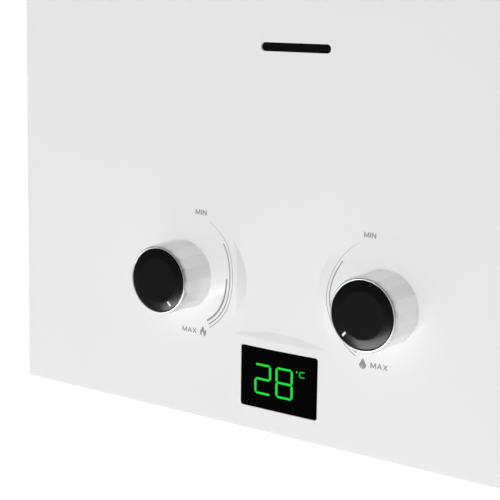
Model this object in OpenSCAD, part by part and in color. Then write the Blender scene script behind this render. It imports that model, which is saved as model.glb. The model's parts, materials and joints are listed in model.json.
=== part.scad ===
// Wall-hung tankless gas water heater, in millimetres.
// X runs to the right, Y from the front towards the wall and Z up.
// The origin is on the wall plane, midway across, at the casing's lower edge. Heights count from there.

/* [Casing] */
// Width of the casing
case_w = 290; // [288:1:340]
// Height of the casing
case_h = 430; // [425:1:520]
// Casing width for which the layout across is given
layout_w = 290; // [280:1:300]
// Casing height for which the layout upwards is given
layout_h = 430; // [420:1:440]
// Depth of the casing from the wall to the front face
case_d = 125; // [123:1:160]
// Thickness of the casing sheet
sheet = 1; // [0.8:0.1:1.2]
// Radius of the cover's front edges
edge_r = 2; // [1.4:0.1:4]
// Depth of the cover's top and bottom lips
lip_d = 15; // [13:1:16]
// Gap between the cover's rear edges and the wall
cover_gap = 3; // [1:0.5:8]
// Depth of the back plate's side flanges
flange_d = 18; // [12:1:24]
// Height of the rear flanges of the top and bottom plates
plate_flange_h = 14; // [10:1:20]
// Clearance between casing sheets
fit = 0.4; // [0.2:0.1:0.8]
// Diameter of the casing screws
screw_d = 4; // [3:0.5:5]
// Diameter of the casing screw heads
screw_head_d = 8; // [7:0.5:9]
// Height of the casing screw heads
screw_head_h = 1.5; // [1.2:0.1:3]
// Length of the casing screws under the head
screw_l = 7; // [5:0.5:10]
// Distance of the cover screws from the casing's sides
cover_screw_inset = 25; // [16:1:40]

/* [Wall fixing] */
// Width of the wall tabs above and below the casing
tab_w = 180; // [160:1:220]
// Height of the wall tabs
tab_h = 18; // [16:1:24]
// Corner radius of the wall tabs
tab_r = 5; // [2:0.5:7]
// Distance between the wall screws
wall_screw_x = 140; // [100:1:144]
// Diameter of the wall screw holes
wall_hole_d = 7; // [5:0.5:8]
// Diameter of the keyhole's round end
keyhole_d = 9; // [8:0.5:10]
// Width of the keyhole's slot
keyhole_slot = 5; // [4:0.5:6]
// Length of the keyhole's slot above the round end
keyhole_rise = 6; // [5:0.5:7]

/* [Front panel] */
// Distance of each knob from the middle of a panel of the layout's width
knob_x = 49.6; // [48:0.1:51]
// Height of the knobs
knob_z = 63; // [61:0.5:66]
// Sideways place of the sight slot
slot_x = 4.3; // [-20:0.1:20]
// Height of the sight slot
slot_z = 161.6; // [158:0.1:166]
// Length of the sight slot
slot_w = 33.2; // [20:0.1:50]
// Width of the sight slot
slot_h = 3.6; // [2:0.1:6]
// Width of the display window
window_w = 38.2; // [30:0.1:44]
// Height of the display window
window_h = 26.4; // [20:0.1:27]
// Height of the display window's middle
window_z = 23.6; // [21:0.1:25]
// Corner radius of the display window
window_r = 1.2; // [0.5:0.1:3]
// Slope of the pressed crescents, as rise over run
crest_slope = 0.26; // [0.15:0.01:0.35]
// Half width of the crescent above the display
brow_half = 24.5; // [20:0.5:28]
// Rise of that crescent's outer arc above its tips
brow_apex = 3.6; // [2:0.1:5]
// Height of that crescent's tips
brow_z = 40.4; // [38:0.1:43]
// Distance over which the display pad runs out
brow_run = 36; // [24:1:38]
// Half width of the crescents beside the knobs
knob_crest_half = 19.5; // [15:0.5:22]
// Distance from the knob's axis to the crescent's tips
knob_crest_x = 23; // [20:0.5:24]
// Reach of the knob crescent's outer arc past its tips
knob_crest_apex = 9.5; // [7:0.1:10]
// Reach of the knob crescent's inner line past its tips
knob_crest_fold = 5.3; // [4.5:0.1:6]
// Distance over which a knob pad runs out
knob_crest_run = 60; // [40:1:66]

/* [Knobs] */
// Width of the knob skirt across its corners
knob_d = 30; // [28:0.5:34]
// Height of the knob's rim in front of the panel
knob_h = 19; // [16:0.5:24]
// Gap between the knob and the panel
knob_gap = 1.5; // [1.3:0.1:2.5]
// Number of flat facets around the skirt
knob_facets = 18; // [14:2:24]
// How far the skirt's ends are bevelled inwards
knob_bevel = 0.8; // [0.4:0.1:1]
// Length of the bevels at the skirt's ends
knob_bevel_l = 2; // [1:0.1:3]
// Diameter of the black cap
cap_d = 27; // [24:0.1:27.4]
// Diameter of the flat middle of the cap
cap_flat_d = 18.6; // [12:0.1:22]
// How far the flat middle stands in front of the rim
cap_crown = 0.5; // [0:0.1:1.5]
// How far the cap's edge lies behind the rim
cap_sink = 0.3; // [0.1:0.1:0.8]
// Thickness of the cap at its edge
cap_t = 2.2; // [1.5:0.1:3]
// Thickness of the skirt's wall
skirt_wall = 2.4; // [1.6:0.1:3]
// Thickness of the skirt's web behind the cap
skirt_web = 2; // [1.5:0.1:3]
// Diameter of the knob's hub
hub_d = 11; // [9:0.5:13]
// Distance from the knob's axis to the pointer's inner end
pointer_r = 10; // [9.5:0.1:11]
// Length of the pointer
pointer_l = 2.6; // [1.5:0.1:2.8]
// Width of the pointer
pointer_w = 0.9; // [0.5:0.1:2]
// Depth of the pointer's inlay
pointer_depth = 1; // [0.6:0.1:1.2]
// Angle of the gas knob's pointer, anticlockwise from the right
gas_angle = -56; // [-60:1:60]
// Angle of the water knob's pointer, anticlockwise from the right
water_angle = 228; // [120:1:240]

/* [Spindles] */
// Diameter of the valve spindles
spindle_d = 6; // [5:0.5:7]
// Depth of a spindle in its valve
spindle_depth = 22; // [16:0.5:23]
// Running clearance of round fits, on the radius
run_gap = 0.05; // [0.02:0.01:0.1]
// Diameter of the spindle bosses on the valves
boss_d = 22; // [16:0.5:26]
// Length of the spindle bosses
boss_l = 10; // [6:0.5:11]
// Diameter of the spindle holes in the cover
spindle_hole_d = 14; // [12:0.5:16]
// Width of the grommets' lips
grommet_lip = 1.5; // [1:0.1:2]
// Thickness of the grommets' lips
grommet_lip_t = 0.8; // [0.6:0.1:1.2]
// Clearance around the spindle in its grommet
grommet_gap = 0.4; // [0.3:0.1:0.8]

/* [Display] */
// Thickness of the lens behind the panel's front
lens_t = 2.5; // [2:0.1:3]
// Overlap of the lens flange behind the panel
lens_flange = 2.8; // [2:0.1:3]
// How far the lens stands out at its top, where the pad is highest
lens_rise = 0.7; // [0.3:0.1:1]
// How far the lens stands out at its foot
lens_foot = 0.1; // [0:0.1:0.3]
// Clearance around the lens
lens_gap = 0.15; // [0.1:0.05:0.3]
// Depth of the LED module
module_d = 8.8; // [6:0.1:9]
// Width of the display bracket's frame
bracket_rim = 7; // [5:0.5:9]
// Thickness of the display board
board_t = 1.6; // [1:0.1:2]
// Margin of the sight pane around its slot
pane_margin = 7; // [5:0.5:10]
// Thickness of the sight pane
pane_t = 0.6; // [0.4:0.1:1]

/* [Heat exchanger] */
// Width of the combustion chamber
chamber_w = 160; // [156:1:164]
// Depth of the combustion chamber
chamber_d = 75; // [74:1:78]
// Gap between the chamber and the wall
chamber_gap = 30; // [28:1:31]
// Height of the chamber's lower edge
chamber_z = 172; // [170:1:176]
// Height of the chamber
chamber_h = 160; // [154:1:166]
// Thickness of the chamber's copper sheet
chamber_t = 1; // [0.6:0.1:1.2]
// Outer diameter of the copper tube
tube_d = 10; // [8:0.5:10.5]
// Wall of the copper tube
tube_wall = 1; // [0.6:0.1:1.5]
// Chamber depth for which the tube's spacing is given
layout_d = 75; // [74:1:76]
// Spacing of the tube's passes in a chamber of the layout's depth
tube_pitch = 15; // [14:0.5:15.5]
// Clearance of the tube in the sheets that it passes through
tube_gap = 0.1; // [0.05:0.05:0.2]
// Gap between the coil and the chamber
coil_gap = 0.4; // [0.3:0.1:0.8]
// Height of the coil above the chamber's lower edge
coil_rise = 58; // [50:1:66]
// Height of the fins
fin_h = 40; // [34:1:44]
// Gap between the fins and the chamber's top
fin_drop = 5; // [3:0.5:8]
// Spacing of the fins
fin_pitch = 6; // [4:0.5:10]
// Thickness of a fin
fin_t = 0.8; // [0.5:0.1:1.2]
// Gap between the fins and the chamber's walls
fin_gap = 0.3; // [0.2:0.1:0.6]

/* [Flue] */
// Height of the flue hood in a casing of the layout's height
hood_h = 64; // [56:1:70]
// Depth of the flue outlet
flue_d = 44; // [36:1:60]
// Height of the flue collar above the casing
collar_rise = 8; // [4:1:12]
// Gap under the rain cap above the casing
cap_rise = 22; // [18:1:30]
// Overhang of the rain cap past the collar at each end
cap_over_x = 16; // [12:1:24]
// Overhang of the rain cap past the collar at front and back
cap_over_y = 15; // [10:1:20]
// Height of the rain cap's skirts
cap_skirt = 8; // [5:1:9]
// Depth of the rain cap's legs
cap_leg_d = 40; // [30:1:44]
// Length of the rain cap's feet
cap_foot = 14; // [12:1:18]

/* [Burner] */
// Height of the burner tray
tray_h = 60; // [58:1:62]
// Thickness of the rails under the burner bars
rail_h = 4; // [3:0.5:6]
// Width of the rails under the burner bars
rail_w = 6; // [4:0.5:8]
// Distance of the rails from the tray's walls
rail_inset = 4; // [2:0.5:8]
// Number of burner bars
bar_count = 5; // [3:2:5]
// Spacing of the burner bars
bar_pitch = 30; // [26:0.5:32]
// Width of a burner bar
bar_w = 16; // [12:0.5:18]
// Height of a burner bar
bar_h = 36; // [32:0.5:38]
// Wall of a burner bar
bar_wall = 1.2; // [0.8:0.1:1.5]
// Gap between a burner bar's ends and the tray
bar_gap = 2; // [1:0.5:4]
// Number of flame slots in a bar
bar_slots = 8; // [4:1:12]
// Width of a flame slot
bar_slot_w = 2; // [1:0.1:3]
// Depth of a flame slot
bar_slot_depth = 5; // [3:0.5:8]
// Width of the tray's sight window
sight_w = 76; // [60:1:80]
// Height of the tray's sight window
sight_h = 14; // [10:1:16]
// Width of the gas manifold, front to back
manifold_d = 16; // [14:0.5:20]
// Height of the gas manifold
manifold_h = 14; // [12:0.5:15]
// Gap between the manifold and the tray
manifold_drop = 2; // [1:0.5:3]
// Diameter of the manifold's feed spigot
feed_d = 14; // [12:0.5:15]
// Width of a nozzle across its flats
nozzle_af = 9; // [8:0.5:11]
// Height of a nozzle's hexagon
nozzle_hex_h = 3; // [2:0.5:4]
// Diameter of a nozzle's tip
nozzle_d = 5; // [4:0.5:7]
// Height of a nozzle above the manifold
nozzle_h = 8; // [6.5:0.5:9]
// Diameter of the inlet in a burner bar
bar_inlet_d = 11; // [9:0.5:12]
// Width of a chassis bracket
chassis_w = 16; // [12:1:20]
// Thickness of a chassis bracket
chassis_t = 1.5; // [1:0.1:2]
// Height of a chassis bracket
chassis_h = 40; // [30:1:44]
// Distance of the chassis brackets from the middle
chassis_x = 50; // [40:1:56]

/* [Valves] */
// Distance of the valves' axis from the wall
valve_y = 68; // [66:0.5:70]
// Width of the gas valve
gas_valve_w = 50; // [46:0.5:52]
// Depth of both valves
valve_d = 52; // [48:0.5:52]
// Height of both valves
valve_h = 46; // [44:0.5:48]
// Reach of the water valve from its knob's axis towards the middle
water_in = 24; // [22:0.5:25]
// Reach of the water valve from its knob's axis outwards
water_out = 20; // [18:0.5:21]
// Diameter of the solenoid valve
solenoid_d = 24; // [18:0.5:26]
// Length of the solenoid valve
solenoid_l = 29; // [22:0.5:30]
// Diameter of the push rod
rod_d = 6; // [5:0.5:7]
// Travel of the push rod
rod_travel = 4; // [2:0.5:4.5]
// Reach of the push rod into the gas valve
rod_reach = 15; // [10:0.5:16]
// Diameter of the push rod's collar
rod_collar_d = 12; // [10:0.5:13]
// Length of the push rod's collar
rod_collar_l = 4.7; // [3:0.1:6]
// Diameter of the push rod's disc
rod_disc_d = 34; // [26:0.5:36]
// Thickness of the push rod's disc
rod_disc_t = 2; // [1.5:0.1:2.5]
// Gap between the disc and the diaphragm
rod_disc_gap = 0.5; // [0.3:0.1:0.8]
// Diameter of the diaphragm's chamber
cavity_d = 40; // [38:0.5:40]
// Depth of the diaphragm's chamber in the valve
cavity_l = 9.6; // [8:0.1:11]
// Diameter of the diaphragm cover
dia_cover_d = 54; // [52:0.5:56]
// Length of the diaphragm cover
dia_cover_l = 12; // [9:0.5:13]
// Depth of the hollow in the diaphragm cover
dia_cover_depth = 7; // [4:0.5:8]
// Length of the water valve's flange
dia_flange_l = 5; // [4:0.5:7]
// Thickness of the diaphragm
dia_t = 1.6; // [1:0.1:2]
// Number of diaphragm screws
dia_screws = 6; // [4:1:8]
// Circle of the diaphragm screws
dia_screw_pcd = 47; // [46.5:0.1:47.5]
// Diameter of the diaphragm screws
dia_screw_d = 3; // [2.5:0.1:3.5]
// Diameter of the diaphragm screw heads
dia_head_d = 5.5; // [5:0.1:6]
// Height of the diaphragm screw heads
dia_head_h = 2; // [1.5:0.1:2.5]

/* [Microswitch] */
// Length of the microswitch
switch_w = 24; // [18:0.5:26]
// Height of the microswitch
switch_h = 12; // [10:0.5:13]
// Thickness of the microswitch
switch_t = 9; // [7:0.5:9.5]
// Thickness of the switch bracket
switch_plate_t = 1.5; // [1:0.1:2]
// Seat length of the switch bracket on the water valve
switch_seat = 16; // [10:0.5:20]
// Height of the lever's pivot above the push rod's axis
pivot_rise = 17; // [16:0.5:18]
// Diameter of the lever's pivot
pivot_d = 2; // [1.5:0.1:2.5]
// Width of the lever
lever_w = 2; // [1.5:0.1:2.5]
// Thickness of the lever
lever_t = 3; // [2:0.1:3.5]
// Gap between the lever and its neighbours
lever_gap = 0.3; // [0.3:0.05:0.5]

/* [Pipes] */
// Distance of the pipe nipples from the wall
pipe_y = 58; // [56:0.5:60]
// Diameter of the nipples' threads
nipple_d = 20.8; // [20:0.1:21]
// Reach of the nipples below the casing
nipple_drop = 21; // [20:0.5:26]
// Diameter of the nipples' shanks in the bottom plate
shank_d = 21.4; // [21.2:0.1:22]
// Bevel at the nipples' ends
nipple_bevel = 0.8; // [0.5:0.1:1.2]
// Bore of the nipples
nipple_bore = 13; // [11:0.5:15]
// Width of the lock nuts and collars across their flats
nut_af = 27; // [26:0.5:30]
// Thickness of the lock nuts
nut_t = 5; // [4:0.5:6]
// Thickness of the nipples' collars
collar_t = 6; // [4:0.5:8]
// Diameter of the nipples' necks
neck_d = 17; // [16:0.5:20]
// Height of the hot outlet's neck
hot_neck_z = 30; // [24:0.5:36]
// Distance of the side pipes from the casing's sides
pipe_inset = 33; // [32:0.5:33]
// Height where the hot pipe steps back
hot_step_z = 120; // [110:1:130]
// Height of the cold pipe above the knobs' axis
cold_rise = 7; // [4:0.5:10]
// Distance of the cold pipe from the water knob's axis
cold_x = 4.4; // [2:0.2:8]
// Height where the cold pipe meets the exchanger's tube
cold_join_z = 200; // [150:1:210]
// Bend radius of the pipes
pipe_bend = 8; // [7:0.5:9]
// Distance of the drain from the water knob's axis
drain_x = 10.4; // [6:0.2:11]
// Distance of the drain from the wall
drain_y = 86; // [84:0.5:87]
// Diameter of the drain's boss
drain_boss_d = 14; // [13:0.5:15]
// Height of the drain boss's mouth
drain_mouth_z = 12; // [10:0.5:14]
// Diameter of the drain plug's shank
drain_d = 8; // [7:0.5:9]
// Length of the drain plug's shank
drain_l = 18; // [14:0.5:20]
// Depth of the drain's bore
drain_depth = 22; // [21:0.5:24]
// Diameter of the drain plug's shoulder
drain_shoulder_d = 13; // [12.5:0.5:14]
// Diameter of the drain plug's head
drain_head_d = 15; // [14:0.5:16]
// Height of the drain plug's head
drain_head_h = 10; // [8:0.5:12]
// Number of grooves around the drain plug's head
drain_grooves = 16; // [8:1:20]
// Radius of those grooves
drain_groove_r = 0.75; // [0.4:0.05:1]
// Gap between the drain plug's head and the casing's lower edge
drain_drop = 1; // [0.5:0.5:2]
// Thickness of the drain's seal
seal_t = 1.8; // [1.2:0.1:2.4]
// Clearance around the drain's seal
seal_gap = 0.1; // [0.05:0.05:0.2]

/* [Bottom plate] */
// Width of an air slot
air_slot_w = 4; // [3:0.5:5]
// Length of an air slot
air_slot_l = 36; // [24:1:40]
// Spacing of the air slots
air_slot_pitch = 9; // [8:0.5:10]
// Number of air slots in a row
air_slots = 6; // [3:1:6]

/* [Battery box] */
// Diameter of a battery
cell_d = 34.2; // [32:0.1:34.4]
// Length of a battery with its nub
cell_l = 61.5; // [58:0.1:62]
// Diameter of a battery's nub
nub_d = 9.5; // [8:0.1:10]
// Length of a battery's nub
nub_l = 1.5; // [1:0.1:2]
// Gap between the batteries
cell_gap = 1; // [0.6:0.1:1.2]
// Clearance around the batteries
cell_fit = 0.9; // [0.5:0.1:1]
// Height of the batteries' feet
cell_z = 6; // [5:0.1:8]
// Height of the contact springs above the batteries
spring_l = 7.7; // [5:0.1:9]
// Diameter of the contact springs
spring_d = 12; // [9:0.5:14]
// Thickness of the contact plates
contact_t = 0.8; // [0.5:0.1:1]
// Wall of the battery box
box_wall = 2; // [1.5:0.1:2.2]
// Width of the battery box's flange
box_flange = 3; // [2:0.5:3]
// Thickness of the battery box's flange
box_flange_t = 2; // [1.5:0.1:3]
// Distance of the battery box's middle from the casing's side
box_inset = 26; // [25:0.5:26]
// Distance of the battery box's middle from the wall
box_y = 70; // [69:0.5:71]
// Thickness of the battery door
door_t = 2.4; // [2:0.1:3]
// Gap between the battery door and the box
door_gap = 0.3; // [0.2:0.1:0.5]
// Diameter of the door's hinge pin
pin_d = 2.4; // [2:0.1:2.6]
// Distance of the hinge pin behind the box
pin_back = 5; // [4.5:0.1:6]
// Diameter of the door's knuckle and the box's ears
knuckle_d = 5; // [4.6:0.1:5.4]
// Width of the door's knuckle
knuckle_w = 20; // [12:0.5:24]
// Width of each hinge ear
ear_w = 5; // [3:0.5:6]
// Gap between the knuckle and the ears
ear_gap = 0.4; // [0.3:0.1:0.6]

/* [Ignition] */
// Width of the igniter box
igniter_w = 40; // [30:1:40]
// Depth of the igniter box
igniter_d = 33; // [25:1:36]
// Height of the igniter box
igniter_h = 70; // [50:1:80]
// Height of the igniter box's foot
igniter_z = 100; // [90:1:120]
// Distance of the igniter box from the casing's side
igniter_inset = 7; // [5:0.5:10]
// Distance of the electrodes from the middle
electrode_x = 50; // [46:0.5:60]
// Height of the electrodes above the burner bars
electrode_rise = 10; // [8:0.5:12]
// Diameter of the electrodes' ceramic
ceramic_d = 7; // [5:0.5:8]
// Length of the ceramic in front of the tray
ceramic_out = 8; // [6:0.5:9]
// Length of the ceramic inside the tray
ceramic_in = 10; // [6:0.5:16]
// Diameter of the electrodes' needles
needle_d = 2; // [1.5:0.1:2.5]
// Length of the electrodes' needles
needle_l = 14; // [8:0.5:20]
// Width of the electrodes' flanges
electrode_flange = 13; // [11:0.5:14]
// Thickness of the electrodes' flanges
electrode_flange_t = 1; // [0.8:0.1:1.5]
// Diameter of the ignition lead
lead_d = 3; // [2:0.5:4]
// Bend radius of the ignition lead
lead_bend = 4; // [3:0.5:4.5]
// Height of the ignition lead below the electrode
lead_drop = 12; // [10:0.5:16]
// Diameter of the limit thermostat
thermostat_d = 16; // [12:0.5:18]
// Length of the limit thermostat
thermostat_l = 8; // [6:0.5:9]
// Sideways place of the limit thermostat
thermostat_x = 30; // [-40:1:40]
// Height of the limit thermostat above the coil
thermostat_rise = 32; // [20:1:40]
// Height of the outlet sensor's clip
sensor_h = 12; // [8:0.5:14]
// Wall of the outlet sensor's clip
sensor_wall = 2; // [1.5:0.1:3]
// Height of the outlet sensor above the coil
sensor_rise = 30; // [20:1:40]

/* [Hidden] */
$fn = 64;

// Overshoot of a cutting shape past the faces that it opens
cut = 1;
// Shortest straight run of a bent bar that is drawn
least_run = 0.001;
// Casing planes
knob_at = knob_x * case_w / layout_w;
front_y = -case_d;
panel_back_y = front_y + sheet;
side_x = case_w / 2;
back_half = side_x - sheet - fit;
plate_half = back_half - sheet - fit;
plate_front_y = panel_back_y + fit;
top_plate_z = case_h - sheet - fit;
bottom_plate_z = sheet + fit;
bottom_plate_top = bottom_plate_z + sheet;
cover_screw_x = side_x - cover_screw_inset;
cover_screw_y = front_y + lip_d / 2;
// Chamber, tray and tube
chamber_back_y = -chamber_gap;
chamber_front_y = chamber_back_y - chamber_d;
chamber_y = (chamber_back_y + chamber_front_y) / 2;
chamber_half = chamber_w / 2;
chamber_top = chamber_z + chamber_h;
tube_r = tube_d / 2;
pass_pitch = tube_pitch * chamber_d / layout_d;
tube_bend = pass_pitch / 2;
coil_off = tube_r + coil_gap;
coil_side = chamber_half + tube_bend + coil_gap;
coil_z = chamber_z + coil_rise;
tube_passes = 5;
fin_top = chamber_top - fin_drop;
fin_z = fin_top - fin_h;
tube_z = fin_z + fin_h / 2;
tube_ys = [for (i = [0 : tube_passes - 1]) chamber_y + (tube_passes - 1 - 2 * i) / 2 * pass_pitch];
tray_z = chamber_z - tray_h;
bar_z = tray_z + rail_h;
bar_top = bar_z + bar_h;
bar_xs = [for (i = [0 : bar_count - 1]) (i - (bar_count - 1) / 2) * bar_pitch];
manifold_top = tray_z - manifold_drop;
manifold_z = manifold_top - manifold_h;
sight_top = chamber_z - 2 * chassis_t;
electrode_z = bar_top + electrode_rise;
// Flue
hood_top = chamber_top + hood_h * (case_h - chamber_top) / (layout_h - chamber_top);
hood_lean = (chamber_d - flue_d) / 2 / (hood_top - chamber_top);
flue_front_y = chamber_y - flue_d / 2;
flue_back_y = chamber_y + flue_d / 2;
cap_half = chamber_half + cap_over_x;
cap_z = case_h + cap_rise;
cap_foot_z = top_plate_z;
// Valves
valve_front_y = -valve_y - valve_d / 2;
valve_back_y = -valve_y + valve_d / 2;
valve_z = knob_z - valve_h / 2;
valve_top = knob_z + valve_h / 2;
gas_valve_in = -knob_at + gas_valve_w / 2;
gas_valve_out = -knob_at - gas_valve_w / 2;
water_valve_in = knob_at - water_in;
water_valve_out = knob_at + water_out;
boss_front_y = valve_front_y - boss_l;
spindle_in_y = boss_front_y + spindle_depth;
spindle_bore_y = spindle_in_y + cut;
dia_cover_x = water_valve_out + dia_t;
rod_disc_x = water_valve_out - rod_disc_gap - rod_disc_t;
rod_end_x = gas_valve_in - rod_reach;
switch_top = valve_top;
pivot_z = knob_z + pivot_rise;
lever_front_y = -valve_y - lever_t / 2;
lever_back_y = -valve_y + lever_t / 2;
switch_back_y = lever_front_y - lever_gap;
switch_front_y = switch_back_y - switch_t;
// Knobs
knob_r = knob_d / 2;
knob_base_y = front_y - knob_gap;
knob_rim_y = front_y - knob_h;
cap_edge_y = knob_rim_y + cap_sink;
cap_back_y = cap_edge_y + cap_t;
web_back_y = cap_back_y + skirt_web;
grommet_r = spindle_hole_d / 2 + grommet_lip;
// Display stack, from the panel backwards
lens_back_y = panel_back_y + lens_t - sheet;
module_back_y = lens_back_y + module_d;
board_back_y = module_back_y + board_t;
lens_half = window_w / 2 - lens_gap;
lens_half_h = window_h / 2 - lens_gap;
lens_back_w = window_w + 2 * lens_flange;
lens_back_h = window_h + 2 * lens_flange;
bracket_half = lens_back_w / 2 + bracket_rim;
bracket_half_h = lens_back_h / 2 + bracket_rim / 2;
// Pipes and drain
hot_x = -(side_x - pipe_inset);
riser_x = side_x - pipe_inset;
nipple_hole_r = shank_d / 2 + fit;
thread_top = bottom_plate_z - nut_t;
cold_pipe_x = knob_at + cold_x;
cold_pipe_z = knob_z + cold_rise;
back_run_y = chamber_back_y + coil_off;
drain_plug_x = knob_at + drain_x;
drain_shoulder_z = drain_mouth_z - seal_t - 2 * seal_gap;
drain_hole_r = drain_head_d / 2 + fit;
// Battery box
box_x = side_x - box_inset;
cell_pitch = cell_d + cell_gap;
cell_ys = [-box_y - cell_pitch / 2, -box_y + cell_pitch / 2];
cavity_half_x = cell_d / 2 + cell_fit;
cavity_half_y = cell_pitch / 2 + cell_d / 2 + cell_fit;
box_half_x = cavity_half_x + box_wall;
box_half_y = cavity_half_y + box_wall;
cell_top = cell_z + cell_l;
contact_z = cell_top + spring_l;
cavity_top = contact_z + contact_t;
door_top = -door_gap;
door_bottom = door_top - door_t;
pin_y = -box_y + box_half_y + pin_back;
pin_z = door_top - door_t / 2;
ear_in = knuckle_w / 2 + ear_gap;
ear_out = ear_in + ear_w;
igniter_x = -(side_x - igniter_inset - igniter_w / 2);

// Box between two limits on each axis
module span(x, y, z) {
    translate([x[0], y[0], z[0]]) cube([x[1] - x[0], y[1] - y[0], z[1] - z[0]]);
}

// Round bars along the three axes
module rod_x(r, x, y, z) {
    translate([x[0], y, z]) rotate([0, 90, 0]) cylinder(r = r, h = x[1] - x[0]);
}

module rod_y(r, x, y, z) {
    translate([x, y[1], z]) rotate([90, 0, 0]) cylinder(r = r, h = y[1] - y[0]);
}

module rod_z(r, x, y, z) {
    translate([x, y, z[0]]) cylinder(r = r, h = z[1] - z[0]);
}

// Hexagonal bar along Z, with flats facing front and back
module hex_z(af, x, y, z) {
    translate([x, y, z[0]]) cylinder(d = af / cos(30), h = z[1] - z[0], $fn = 6);
}

// Rectangle with round corners, about its middle
module rounded_rect(w, h, r) {
    square([w - 2 * r, h], center = true);
    square([w, h - 2 * r], center = true);
    for (sx = [-1, 1], sy = [-1, 1]) {
        translate([sx * (w / 2 - r), sy * (h / 2 - r)]) circle(r);
    }
}

// Slot with round ends, about its middle
module round_slot(l, w) {
    square([l - w, w], center = true);
    for (s = [-1, 1]) {
        translate([s * (l - w) / 2, 0]) circle(w / 2);
    }
}

// Upright plate with round corners, between two depths
module upright_plate(w, h, r, x, y, z) {
    translate([x, y[1], z]) rotate([90, 0, 0]) linear_extrude(y[1] - y[0]) rounded_rect(w, h, r);
}

// Shape turned about the front-to-back axis, from a profile of radius and depth
module turned(x, z, profile) {
    translate([x, 0, z]) rotate([-90, 0, 0]) rotate_extrude() polygon(profile);
}

// Outline with two round corners at its start, for the cover's front edges
module front_outline(w, d, r) {
    translate([-w / 2, r]) square([w, d - r]);
    translate([-w / 2 + r, 0]) square([w - 2 * r, r + cut]);
    for (s = [-1, 1]) {
        translate([s * (w / 2 - r), r]) circle(r);
    }
}

// Block whose four front edges are round
module front_block(w, d, h, r) {
    intersection() {
        linear_extrude(h) front_outline(w, d, r);
        translate([-w / 2, 0, h / 2]) rotate([90, 0, 90]) linear_extrude(w)
            rotate(-90) front_outline(h, d, r);
    }
}

// Frame whose third axis follows a unit vector
function side_of(u) = abs(u[0]) > 0.5 ? [0, 1, 0] : [1, 0, 0];
function frame_of(ex, ey, ez, p) = [
    [ex[0], ey[0], ez[0], p[0]],
    [ex[1], ey[1], ez[1], p[1]],
    [ex[2], ey[2], ez[2], p[2]],
    [0, 0, 0, 1]
];
function unit(v) = v / norm(v);

// Round bar along square corners with quarter bends
module bent_bar(points, r, bend) {
    last = len(points) - 1;
    for (i = [0 : last - 1]) {
        u = unit(points[i + 1] - points[i]);
        start = points[i] + (i == 0 ? 0 : bend) * u;
        end = points[i + 1] - (i == last - 1 ? 0 : bend) * u;
        ex = side_of(u);
        if (norm(end - start) > least_run) {
            multmatrix(frame_of(ex, cross(u, ex), u, start)) cylinder(r = r, h = norm(end - start));
        }
        if (i < last - 1) {
            v = unit(points[i + 2] - points[i + 1]);
            centre = points[i + 1] + bend * (v - u);
            multmatrix(frame_of(-v, u, cross(u, v), centre)) {
                rotate_extrude(angle = 90) translate([bend, 0]) circle(r);
            }
        }
    }
}

// The same points with both ends drawn out
function drawn_out(points, by) = let (last = len(points) - 1) [
    for (i = [0 : last])
        i == 0 ? points[0] - by * unit(points[1] - points[0])
        : i == last ? points[last] + by * unit(points[last] - points[last - 1])
        : points[i]
];

// Pipe along square corners
module pipe(points, r, wall, bend) {
    difference() {
        bent_bar(points, r, bend);
        bent_bar(drawn_out(points, cut), r - wall, bend);
    }
}

// Pressed pad on the panel: a sloped crescent, then a face that runs out behind it.
// Its local axes are across the crescent, towards its apex and out of the panel.
module pad(half, apex, fold, run) {
    brow_rise = crest_slope * apex;
    face_rise = crest_slope * (apex - fold);
    face_slope = face_rise / run;
    intersection() {
        pad_roll(half, brow_rise, -crest_slope, apex + run);
        pad_roll(half, face_rise - face_slope * fold, face_slope, apex + run);
        translate([-half, -run, -sheet / 2]) cube([2 * half, run + apex + cut, brow_rise + sheet]);
    }
}

// Long cylinder whose crown passes over the pad at a slope
module pad_roll(half, rise, slope, reach) {
    roll_r = (half * half + rise * rise) / (2 * rise);
    tilt = atan(slope);
    translate([0, 0, rise]) rotate([tilt, 0, 0]) translate([0, 0, -roll_r]) {
        rotate([90, 0, 0]) cylinder(r = roll_r, h = 4 * reach, center = true, $fn = 360);
    }
}

// Carries pad axes onto the panel: turn is the apex's direction, anticlockwise from up
module on_panel(x, z, turn) {
    translate([x, front_y, z]) rotate([90, 0, 0]) rotate(turn) children();
}

// Back plate with folded sides and tabs for the wall screws
module back_plate() {
    depth = [-sheet - cut, cut];
    slot_half = keyhole_slot / 2;
    keyhole_z = case_h + keyhole_d / 2 + sheet;
    color("gainsboro") difference() {
        union() {
            span([-back_half, back_half], [-sheet, 0], [0, case_h]);
            for (s = [-1, 1]) {
                translate([s * (back_half - sheet / 2), -flange_d / 2, case_h / 2])
                    cube([sheet, flange_d, case_h], center = true);
            }
            upright_plate(tab_w, case_h + 2 * tab_h, tab_r, 0, [-sheet, 0], case_h / 2);
        }
        for (s = [-1, 1], z = [-tab_h / 2, case_h + tab_h / 2]) {
            rod_y(wall_hole_d / 2, s * wall_screw_x / 2, depth, z);
        }
        rod_y(keyhole_d / 2, 0, depth, keyhole_z);
        rod_y(slot_half, 0, depth, keyhole_z + keyhole_rise);
        span([-slot_half, slot_half], depth, [keyhole_z, keyhole_z + keyhole_rise]);
    }
}

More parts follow.
